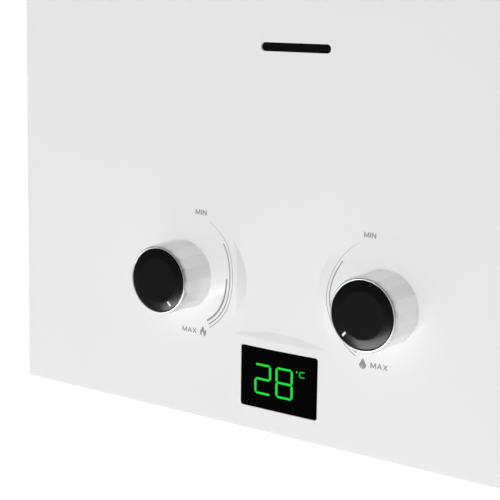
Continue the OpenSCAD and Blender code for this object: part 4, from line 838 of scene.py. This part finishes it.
def flat_shape(outlines):
    """A flat mesh inside smooth outlines whose first points are tips; later ones are holes."""
    curve = bpy.data.curves.new("outline", "CURVE")
    curve.dimensions = "2D"
    curve.fill_mode = "BOTH"
    for points in outlines:
        spline = curve.splines.new("BEZIER")
        spline.bezier_points.add(len(points) - 1)
        for i, (x, y) in enumerate(points):
            point = spline.bezier_points[i]
            point.co = (x, y, 0.0)
            ways = "VECTOR" if i == 0 else "AUTO"
            point.handle_left_type = ways
            point.handle_right_type = ways
        spline.use_cyclic_u = True
    made = in_scene("outline", curve)
    mesh = bpy.data.meshes.new_from_object(made.evaluated_get(bpy.context.evaluated_depsgraph_get()))
    bpy.data.objects.remove(made)
    bm = bmesh.new()
    bm.from_mesh(mesh)
    bpy.data.meshes.remove(mesh)
    weld(bm)
    if not bm.faces:
        raise RuntimeError("a flat shape has no faces")
    return bm


def fitted(bm, width, height):
    """Scales a flat shape to a width and a height about its middle."""
    xs = [v.co.x for v in bm.verts]
    ys = [v.co.y for v in bm.verts]
    centre = Vector(((min(xs) + max(xs)) / 2, (min(ys) + max(ys)) / 2, 0.0))
    move(bm, -centre)
    bmesh.ops.scale(bm, verts=bm.verts, vec=(width / (max(xs) - min(xs)), height / (max(ys) - min(ys)), 1.0))
    return bm


def ground_of(name):
    """What a piece offers to marks laid on it."""
    return BVHTree.FromObject(bpy.data.objects[name], bpy.context.evaluated_depsgraph_get())


def laid_on(bm, ground, proud, depth):
    """Gives flat marks a thickness and lays them on a surface that faces the front."""
    for f in bm.faces:
        if f.normal.y > 0:
            f.normal_flip()
    sunk = bmesh.ops.extrude_face_region(bm, geom=bm.faces[:], use_keep_orig=True)["geom"]
    deep = {v for v in sunk if isinstance(v, bmesh.types.BMVert)}
    for v in bm.verts:
        hit, _, _, _ = ground.ray_cast(Vector((v.co.x, -1.0, v.co.z)), Vector((0, 1, 0)))
        if hit is None:
            raise RuntimeError("a mark lies beside its surface")
        v.co.y = hit.y - proud + (depth if v in deep else 0.0)
    face_outwards(bm)


# Operators

class HEATER_OT_front_panel(bpy.types.Operator):
    """Front cover with softly pressed pads"""

    bl_idname = "heater.front_panel"
    bl_label = "Front panel"
    bl_options = {"REGISTER", "UNDO"}

    def execute(self, context):
        bm = merged_copy("front_cover")
        front = [f for f in bm.faces if f.normal.y < -FACING and f.verts[0].co.y < PANEL_Y + MERGE]
        edges = {e for f in front for e in f.edges}
        verts = {v for f in front for v in f.verts}
        geom = list(verts) + list(edges) + front
        for normal, bounds in ((Vector((1, 0, 0)), CUTS_X), (Vector((0, 0, 1)), CUTS_Z)):
            for spot in self.spots(bounds):
                geom = cut(bm, geom, normal * spot, normal)
        crease = sizes().crease
        for v in bm.verts:
            inside = CUTS_X[0] <= v.co.x <= CUTS_X[-1] and CUTS_Z[0] <= v.co.z <= CUTS_Z[-1]
            if inside and v.co.y < PANEL_Y + MERGE:
                v.co.y = PANEL_Y - pad_height(v.co.x, v.co.z, crease)
        dressed("front_cover", bm, name="front_panel", weighted=True)
        return {"FINISHED"}

    def spots(self, bounds):
        """Where the panel is cut between bounds."""
        spots = [bounds[0]]
        for i, (low, high) in enumerate(zip(bounds, bounds[1:])):
            step = sizes().crease_step if i % 2 else sizes().panel_step
            count = math.ceil((high - low) / step)
            spots += [low + (high - low) * (n + 1) / count for n in range(count)]
        return spots


class HEATER_OT_panel_print(bpy.types.Operator):
    """Printed scales, words and signs of the two knobs"""

    bl_idname = "heater.panel_print"
    bl_label = "Panel print"
    bl_options = {"REGISTER", "UNDO"}

    def execute(self, context):
        panel = ground_of("front_panel")
        for name, node, side in (("gas_scale", "gas_knob_cap", 1), ("water_scale", "water_knob_cap", -1)):
            centre = middle(node)
            marks = []
            for band in SCALE_ARCS:
                marks.append(placed(self.arc(*band, side), facing_front(centre.x, centre.z)))
            for text, x, z, width, height in SCALE_WORDS[name]:
                marks.append(placed(fitted(words(text), width, height), facing_front(x, z)))
            outlines, x, z, width, height = SCALE_SIGNS[name]
            marks.append(placed(fitted(flat_shape(outlines), width, height), facing_front(x, z)))
            bm = placed(joined(marks), Matrix.Translation((0.0, 0.0, PRINT_RISE)))
            laid_on(bm, panel, sizes().ink_proud, sizes().ink_depth)
            piece(name, bm, "panel_ink", "casing")
        return {"FINISHED"}

    def arc(self, width, radius, start, end, share, side):
        """A flat band along an arc that may taper to its start, on the right or mirrored to the left."""
        if side < 0:
            start, end = 180 - start, 180 - end
        bm = bmesh.new()
        wire(bm, ((radius - width / 2, 0.0), (radius + width / 2, 0.0)))
        sweep = math.radians(end - start)
        spin(bm, sweep, math.ceil(abs(end - start) / ARC_STEP))
        for v in bm.verts:
            off = math.hypot(v.co.x, v.co.y) - radius
            done = math.atan2(v.co.y, v.co.x) / sweep
            set_reach(v, radius + off * (share + (1 - share) * done))
        rotate(bm, math.radians(start))
        return bm


class HEATER_OT_knobs(bpy.types.Operator):
    """Chrome skirts, black caps and white pointers of the two knobs"""

    bl_idname = "heater.knobs"
    bl_label = "Knobs"
    bl_options = {"REGISTER", "UNDO"}

    def execute(self, context):
        for side, angle in (("gas", GAS_ANGLE), ("water", WATER_ANGLE)):
            centre = middle(side + "_knob_cap")
            place = facing_front(centre.x, centre.z)
            dressed(side + "_knob_skirt", placed(self.skirt(side, angle), place), sharp=50)
            dressed(side + "_knob_cap", placed(self.cap(side), place), sharp=50)
            dressed(side + "_knob_pointer", placed(self.pointer(side, angle), place))
        return {"FINISHED"}

    def heights(self, node):
        """A node's back and front, as heights out of the wall."""
        low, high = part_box(node)
        return -high.y, -low.y

    def skirt(self, side, angle):
        """Faceted skirt with a lip, a web and a hub."""
        base, rim = self.heights(side + "_knob_skirt")
        floor, _ = self.heights(side + "_knob_cap")
        web = floor - SKIRT_WEB
        bm = turned(
            (
                (0.0, floor), (CAP_R + FIT, floor), (CAP_R + FIT, rim), (KNOB_R - KNOB_BEVEL, rim),
                (KNOB_R, rim - KNOB_BEVEL_L), (KNOB_R, base), (SKIRT_INNER_R, base), (SKIRT_INNER_R, web),
                (HUB_R, web), (HUB_R, base), (SPINDLE_R + FIT, base), (SPINDLE_R + FIT, web), (0.0, web),
            ),
            KNOB_FACETS * FACET_STEPS, rounding=(((2, 3), LIP_SOFT), ((4, 5), SKIRT_SOFT)), closed=False,
        )
        facet(bm, KNOB_FACETS, KNOB_R, angle, sizes().facet_soft)
        polish = bm.faces.layers.float.new("polish")
        for f in bm.faces:
            spot = f.calc_center_median()
            turn = math.atan2(spot.y, spot.x)
            number = (turn - angle) * KNOB_FACETS // (2 * math.pi)
            # Painted shade: facets on top are painted darker and those below lighter, mixed with a random
            # tone from facet to facet
            fall = 0.5 - 0.5 * math.sin(turn)
            f[polish] = PAINTED_SHADE_SHARE * fall + (1 - PAINTED_SHADE_SHARE) * (number * POLISH_STEP % 1.0)
        return bm

    def crown(self, radius, front):
        """Height of the cap's ring at a radius."""
        out = min(max((radius - CAP_FLAT_R) / (CAP_R - CAP_FLAT_R), 0.0), 1.0)
        return front - CAP_DROP * ((1 - CAP_CURVE) * out + CAP_CURVE * out * out)

    def cap(self, side):
        """Flat-faced cap whose ring falls away to its edge."""
        floor, front = self.heights(side + "_knob_cap")
        ring = [CAP_FLAT_R + (CAP_R - CAP_FLAT_R) * i / CAP_RINGS for i in range(CAP_RINGS)]
        points = [(0.0, front), (CAP_FLAT_R - CAP_EDGE, front)]
        points += [(r, self.crown(r, front)) for r in ring]
        edge = len(points)
        points += [(CAP_R - FIT, self.crown(CAP_R, front)), (CAP_R - FIT, floor + FIT), (0.0, floor + FIT)]
        return turned(points, CAP_STEPS, rounding=(((edge,), CAP_SOFT),), closed=False)

    def pointer(self, side, angle):
        """Raised bar on the cap's ring."""
        _, front = self.heights(side + "_knob_cap")
        bm = bmesh.new()
        bmesh.ops.create_cube(bm, size=1.0)
        long_edges = [e for e in bm.edges if abs(e.verts[0].co.x - e.verts[1].co.x) > 0.5]
        bmesh.ops.subdivide_edges(bm, edges=long_edges, cuts=4, use_grid_fill=True)
        for v in bm.verts:
            v.co.x = POINTER_R + (v.co.x + 0.5) * POINTER_L
            v.co.y *= POINTER_W
            top = self.crown(math.hypot(v.co.x, v.co.y), front)
            v.co.z = top + POINTER_PROUD if v.co.z > 0 else top - POINTER_SINK
        rim = [e for e in bm.edges if e.calc_face_angle(0.0) > math.radians(60)]
        bevel(bm, rim, POINTER_SOFT, 2)
        rotate(bm, angle)
        return bm


class HEATER_OT_display(bpy.types.Operator):
    """Smoked lens and the lit figures on it"""

    bl_idname = "heater.display"
    bl_label = "Display"
    bl_options = {"REGISTER", "UNDO"}

    def execute(self, context):
        in_front = PANEL_Y + MERGE
        lens = softened("display_lens", LENS_SOFT, 3, keep=lambda e: max(v.co.y for v in e.verts) < in_front)
        dressed("display_lens", lens, weighted=True)
        bars = [self.bar(*row) for row in UNIT_BARS]
        for x0, x1, lit in DIGITS:
            bars += self.digit(x0, x1, lit, sizes().stroke)
        bm = joined(bars)
        laid_on(bm, ground_of("display_lens_dressed"), LIT_PROUD, LIT_DEPTH)
        piece("lit_figures", bm, "lit_segment", "casing")
        return {"FINISHED"}

    def bar(self, length, width, x, z, upright):
        """A flat bar with pointed ends, in place in front of the panel."""
        bm = bmesh.new()
        bmesh.ops.create_circle(bm, cap_ends=True, radius=width, segments=6)
        quarter = math.radians(90)
        rotate(bm, quarter)
        for v in bm.verts:
            tip = abs(v.co.y) < MERGE
            v.co.x = math.copysign(length / 2 if tip else (length - width) / 2, v.co.x)
            v.co.y = 0.0 if tip else math.copysign(width / 2, v.co.y)
        if upright:
            rotate(bm, quarter)
        return placed(bm, facing_front(x, z))

    def digit(self, x0, x1, lit, thick):
        """The lit bars of one figure of seven bars."""
        level = thick * LEVEL_SHARE
        low, high = DIGIT_Z[0] + level / 2, DIGIT_Z[1] - level / 2
        left, right = x0 + thick / 2, x1 - thick / 2
        mid, centre = (low + high) / 2, (left + right) / 2
        upper, lower = (mid + high) / 2, (low + mid) / 2
        flat = (right - left - SEGMENT_GAP, level, centre)
        tall = (high - mid - SEGMENT_GAP, thick)
        spots = {
            "a": (*flat, high, False), "b": (*tall, right, upper, True), "c": (*tall, right, lower, True),
            "d": (*flat, low, False), "e": (*tall, left, lower, True), "f": (*tall, left, upper, True),
            "g": (*flat, mid, False),
        }
        return [self.bar(*spots[k]) for k in lit]


class HEATER_OT_casing_sheets(bpy.types.Operator):
    """Back, top and bottom plates, flue collar and rain cap with softened cut edges"""

    bl_idname = "heater.casing_sheets"
    bl_label = "Casing sheets"
    bl_options = {"REGISTER", "UNDO"}

    def execute(self, context):
        for node in ("back_plate", "top_plate", "bottom_plate", "flue_collar", "rain_cap"):
            dressed(node, softened(node, sizes().sheet_soft), weighted=True)
        return {"FINISHED"}


class HEATER_OT_fasteners(bpy.types.Operator):
    """Cross-recessed screws and chamfered lock nuts"""

    bl_idname = "heater.fasteners"
    bl_label = "Fasteners"
    bl_options = {"REGISTER", "UNDO"}

    def execute(self, context):
        low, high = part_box("casing_screws")
        x = high.x - SCREW_HEAD_R
        y = low.y + SCREW_HEAD_R
        top, bottom = high.z - SCREW_HEAD_H, low.z + SCREW_HEAD_H
        foot = middle("rain_cap")
        places = []
        for s in (-1, 1):
            places.append(Matrix.Translation((s * x, y, top)))
            places.append(Matrix.Translation((s * x, y, bottom)) @ UPSIDE_DOWN)
            for t in (-1, 1):
                places.append(Matrix.Translation((s * CAP_SCREW_X, foot.y + t * CAP_SCREW_Y, CAP_SCREW_Z)))
        dressed("casing_screws", joined([placed(self.screw(), place) for place in places]))
        nuts = []
        nut_low, nut_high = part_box("lock_nuts")
        for node in NIPPLES:
            spot = middle(node)
            nuts.append(placed(self.nut(nut_low.z, nut_high.z), Matrix.Translation((spot.x, spot.y, 0.0))))
        dressed("lock_nuts", joined(nuts))
        return {"FINISHED"}

    def screw(self):
        """Pan-head screw standing on its seat, with a cross recess."""
        head, tall = SCREW_HEAD_R, SCREW_HEAD_H
        rings = [i / DOME_RINGS for i in range(DOME_RINGS + 1)]
        points = [(head * DOME_SHARE * out, tall - DOME_DROP * out ** 2) for out in rings]
        points += [(head * out, tall * up) for out, up in HEAD_SIDE]
        points += [(SCREW_R, 0.0), (SCREW_R, -SCREW_L), (0.0, -SCREW_L)]
        bm = turned(points, SCREW_STEPS, closed=False)
        for v in bm.verts:
            u, w = abs(v.co.x), abs(v.co.y)
            arm = max(u, w)
            if v.co.z > tall * RECESS_ABOVE and min(u, w) < RECESS_HALF and arm < RECESS_L:
                v.co.z -= RECESS_DEPTH * (1 - RECESS_TAPER * arm / RECESS_L)
        return bm

    def nut(self, low, high):
        """Hexagon nut with both ends chamfered."""
        corner = NUT_AF / 2 / math.cos(math.pi / NUT_SIDES)
        face = NUT_AF / 2 * NUT_FACE
        bore = SHANK_R + FIT
        start, end = low + NUT_CHAMFER, high - NUT_CHAMFER
        points = ((bore, low), (face, low), (corner, start), (corner, end), (face, high), (bore, high))
        bm = turned(points, NUT_STEPS, rounding=(((0, 5), NUT_SOFT),))
        facet(bm, NUT_SIDES, corner, 0.0, NUT_EDGE)
        return bm


class HEATER_OT_connections(bpy.types.Operator):
    """Threaded pipe nipples and the drain plug"""

    bl_idname = "heater.connections"
    bl_label = "Connections"
    bl_options = {"REGISTER", "UNDO"}

    def execute(self, context):
        for node in NIPPLES:
            dressed(node, joined([self.upper(node), self.thread(node)]), sharp=40)
        dressed("drain_plug", softened("drain_plug", PLUG_SOFT, angle=50))
        return {"FINISHED"}

    def upper(self, node):
        """The nipple's solid above its thread, closed at the cut."""
        bm = merged_copy(node)
        cut(bm, whole(bm), (0, 0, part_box("lock_nuts")[0].z), (0, 0, -1), clear=True)
        bmesh.ops.bridge_loops(bm, edges=[e for e in bm.edges if e.is_boundary])
        face_outwards(bm)
        return bm

    def thread(self, node):
        """Helical thread with a chamfered, bored end."""
        spot = middle(node)
        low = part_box(node)[0].z
        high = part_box("lock_nuts")[0].z - FIT
        pitch = sizes().thread_pitch
        crest = NIPPLE_R
        turns = math.ceil((high - low) / pitch) + 3
        bm = bmesh.new()
        wire(bm, [(crest - down * pitch, up * pitch) for down, up in THREAD_FORM])
        move(bm, (0, 0, low - 2 * pitch))
        spin(bm, 2 * math.pi * turns, turns * THREAD_STEPS, pitch / THREAD_STEPS)
        weld(bm)
        lead = low + THREAD_LEAD
        for height, way in ((low, -1), ((low + lead) / 2, 0), (lead, 0), (high, 1)):
            cut(bm, whole(bm), (0, 0, height), (0, 0, way or 1), clear=way != 0)
        for v in bm.verts:
            limit = crest - max(0.0, lead - v.co.z)
            if math.hypot(v.co.x, v.co.y) > limit:
                set_reach(v, limit)
        rim = [e for e in bm.edges if e.is_boundary]
        inner = bmesh.ops.extrude_edge_only(bm, edges=rim)["geom"]
        for v in inner:
            if isinstance(v, bmesh.types.BMVert):
                set_reach(v, NIPPLE_BORE_R)
        bmesh.ops.bridge_loops(bm, edges=[e for e in bm.edges if e.is_boundary])
        face_outwards(bm)
        return placed(bm, Matrix.Translation((spot.x, spot.y, 0.0)))


class HEATER_OT_battery_bay(bpy.types.Operator):
    """Battery door, batteries and the sprung contacts"""

    bl_idname = "heater.battery_bay"
    bl_label = "Battery bay"
    bl_options = {"REGISTER", "UNDO"}

    def execute(self, context):
        dressed("battery_door", softened("battery_door", DOOR_SOFT, 3, angle=50), weighted=True)
        low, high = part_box("batteries")
        x = (low.x + high.x) / 2
        r = (high.x - low.x) / 2
        spots = (low.y + r, high.y - r)
        standing = Matrix.Translation((x, spots[0], low.z))
        hanging = Matrix.Translation((x, spots[1], high.z)) @ UPSIDE_DOWN
        cells = [placed(self.cell(r, high.z - low.z), place) for place in (standing, hanging)]
        dressed("batteries", joined(cells))
        door_low, door_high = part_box("door_contacts")
        plate = self.plate(door_low, Vector((door_high.x, door_high.y, door_low.z + CONTACT_T)))
        coils = [self.spring(x, y, door_low.z + CONTACT_T, door_high.z) for y in spots]
        dressed("door_contacts", joined([plate, *coils]))
        top_low, top_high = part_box("battery_contacts")
        parts = []
        half = (top_high.x - top_low.x) / 2
        for y in spots:
            start = Vector((x - half, y - half, top_high.z - CONTACT_T))
            parts.append(self.plate(start, Vector((x + half, y + half, top_high.z))))
            parts.append(self.spring(x, y, top_low.z, top_high.z - CONTACT_T))
        dressed("battery_contacts", joined(parts))
        return {"FINISHED"}

    def cell(self, r, tall):
        """A battery standing on its flat end, with a crimped can and a nub."""
        can = tall - NUB_L
        dip = can - CELL_STEP
        dish, foot = (r * share for share in CELL_FOOT)
        crimp, inner = (r * share for share in CELL_CRIMP)
        points = (
            (0.0, CELL_DISH), (dish, CELL_DISH), (foot, 0.0), (r, 0.0), (r, can), (crimp, can), (inner, dip),
            (NUB_R * NUB_FOOT, dip), (NUB_R, can), (NUB_R, tall), (0.0, tall),
        )
        return turned(points, CELL_STEPS, rounding=CELL_ROUNDING, closed=False)

    def plate(self, low, high):
        """A flat contact with softened edges between two corners."""
        bm = bmesh.new()
        bmesh.ops.create_cube(bm, size=1.0)
        bmesh.ops.scale(bm, verts=bm.verts, vec=high - low)
        move(bm, (low + high) / 2)
        upright = [e for e in bm.edges if abs(e.verts[0].co.z - e.verts[1].co.z) > MERGE]
        bevel(bm, upright, CONTACT_CORNER, 4)
        return bm

    def spring(self, x, y, low, high):
        """A conical coil between two heights."""
        half = sizes().spring_wire / 2
        steps = SPRING_TURNS * SPRING_STEPS
        bm = bmesh.new()
        bmesh.ops.create_circle(bm, cap_ends=True, radius=half, segments=WIRE_SIDES)
        rotate(bm, math.radians(90), "X")
        move(bm, (SPRING_R - half, 0, low + half))
        spin(bm, 2 * math.pi * SPRING_TURNS, steps, (high - low - 2 * half) / steps)
        face_outwards(bm)
        return placed(bm, Matrix.Translation((x, y, 0.0)))


class HEATER_OT_inner_works(bpy.types.Operator):
    """Finishes of every solid that still shows"""

    bl_idname = "heater.inner_works"
    bl_label = "Inner works"
    bl_options = {"REGISTER", "UNDO"}

    def execute(self, context):
        for name, node in NODES.items():
            node.material_slots[0].material = finish(SLOT_OF[name])
        return {"FINISHED"}


class HEATER_OT_stage(bpy.types.Operator):
    """Pale floor, soft light and the camera"""

    bl_idname = "heater.stage"
    bl_label = "Stage"
    bl_options = {"REGISTER", "UNDO"}

    def execute(self, context):
        stage = context.scene.heater_stage
        self.floor(stage)
        self.sky(stage)
        for name, spot, aim, size, power, lights in LAMPS:
            self.lamp(name, Vector(spot), Vector(aim), size, getattr(stage, power), lights)
        self.camera(stage)
        context.scene.view_settings.view_transform = "Standard"
        return {"FINISHED"}

    def floor(self, stage):
        """A wide floor below the heater, white to the camera, that keeps its shadow."""
        bm = bmesh.new()
        bmesh.ops.create_grid(bm, x_segments=1, y_segments=1, size=FLOOR_HALF)
        move(bm, (0, 0, -stage.floor_drop))
        floor = in_scene("floor", mesh_of(bm, "floor"))
        material = bpy.data.materials.new("stage_floor")
        floor.data.materials.append(material)
        nodes = Nodes(material)
        nodes.tree.nodes.remove(nodes.tree.nodes["Principled BSDF"])
        matt = nodes.grey("ShaderNodeBsdfDiffuse", FLOOR_GREY)
        shaded = nodes.grey("ShaderNodeBsdfDiffuse", FLOOR_SHADED)
        white = nodes.grey("ShaderNodeEmission", FLOOR_GLOW)
        nodes.link(nodes.dim_in_front("Object", 0.0, *FLOOR_FALL), white.inputs["Strength"])
        both = nodes.node("ShaderNodeAddShader")
        nodes.link(shaded.outputs["BSDF"], both.inputs[0])
        nodes.link(white.outputs["Emission"], both.inputs[1])
        nodes.show("Material Output", matt.outputs["BSDF"], both.outputs["Shader"])

    def sky(self, stage):
        """Even light from all round; white where it is seen, and darker in front in mirrors."""
        world = bpy.data.worlds.new("studio")
        bpy.context.scene.world = world
        nodes = Nodes(world)
        light = nodes.tree.nodes["Background"]
        light.inputs["Color"].default_value = (1.0, 1.0, 1.0, 1.0)
        light.inputs["Strength"].default_value = stage.sky
        white = nodes.grey("ShaderNodeBackground", 1.0)
        nodes.link(nodes.dim_in_front("Generated", stage.front, *SKY_FALL), white.inputs["Strength"])
        nodes.show("World Output", light.outputs["Background"], white.outputs["Background"])

    def lamp(self, name, spot, aim, size, power, lights):
        """A soft lamp without shadows that points at a spot."""
        data = bpy.data.lights.new(name, "AREA")
        data.use_shadow = False
        data.shape = "RECTANGLE"
        data.size, data.size_y = size
        data.energy = power
        lamp = in_scene(name, data)
        lamp.location = spot
        lamp.rotation_euler = (aim - spot).to_track_quat("-Z", "Y").to_euler()
        lamp.visible_camera = False
        lamp.visible_glossy = bool(lights)
        if lights:
            lit = bpy.data.collections.new(name + "_lights")
            for node in lights:
                lit.objects.link(bpy.data.objects[node + "_dressed"])
            lamp.light_linking.receiver_collection = lit

    def camera(self, stage):
        """The photograph's viewpoint."""
        data = bpy.data.cameras.new("camera")
        data.lens = stage.lens
        data.sensor_width = 36.0
        data.shift_y = CAMERA_SHIFT
        data.clip_start = 0.01
        data.clip_end = 100.0
        camera = in_scene("camera", data)
        turn = Matrix.Rotation(CAMERA_YAW, 4, "Z") @ Matrix.Rotation(math.radians(90) - CAMERA_PITCH, 4, "X")
        camera.matrix_world = Matrix.Translation(CAMERA_SPOT) @ turn @ Matrix.Rotation(CAMERA_ROLL, 4, "Z")
        bpy.context.scene.camera = camera


OPERATORS = (
    HEATER_OT_front_panel, HEATER_OT_panel_print, HEATER_OT_knobs, HEATER_OT_display, HEATER_OT_casing_sheets,
    HEATER_OT_fasteners, HEATER_OT_connections, HEATER_OT_battery_bay, HEATER_OT_inner_works, HEATER_OT_stage,
)


class HEATER_PT_sidebar(bpy.types.Panel):
    """Lists the heater's operators and what a user may change"""

    bl_idname = "HEATER_PT_sidebar"
    bl_label = "Water heater"
    bl_space_type = "VIEW_3D"
    bl_region_type = "UI"
    bl_category = "Heater"

    def draw(self, context):
        for operator in OPERATORS:
            self.layout.operator(operator.bl_idname)
        for group in (context.scene.heater_colours, context.scene.heater_sizes, context.scene.heater_stage):
            box = self.layout.box()
            for key in group.__annotations__:
                box.prop(group, key)


GROUPS = (("heater_colours", HeaterColours), ("heater_sizes", HeaterSizes), ("heater_stage", HeaterStage))


def register():
    """Adds the classes and the properties to Blender."""
    for name, group in GROUPS:
        bpy.utils.register_class(group)
        setattr(bpy.types.Scene, name, PointerProperty(type=group))
    for each in (*OPERATORS, HEATER_PT_sidebar):
        bpy.utils.register_class(each)


def unregister():
    """Takes them away again."""
    for each in (HEATER_PT_sidebar, *reversed(OPERATORS)):
        bpy.utils.unregister_class(each)
    for name, group in reversed(GROUPS):
        delattr(bpy.types.Scene, name)
        bpy.utils.unregister_class(group)


def main():
    """Registers the add-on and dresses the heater."""
    register()
    bpy.ops.heater.front_panel()
    bpy.ops.heater.panel_print()
    bpy.ops.heater.knobs()
    bpy.ops.heater.display()
    bpy.ops.heater.casing_sheets()
    bpy.ops.heater.fasteners()
    bpy.ops.heater.connections()
    bpy.ops.heater.battery_bay()
    bpy.ops.heater.inner_works()
    bpy.ops.heater.stage()


if __name__ == "__main__":
    main()
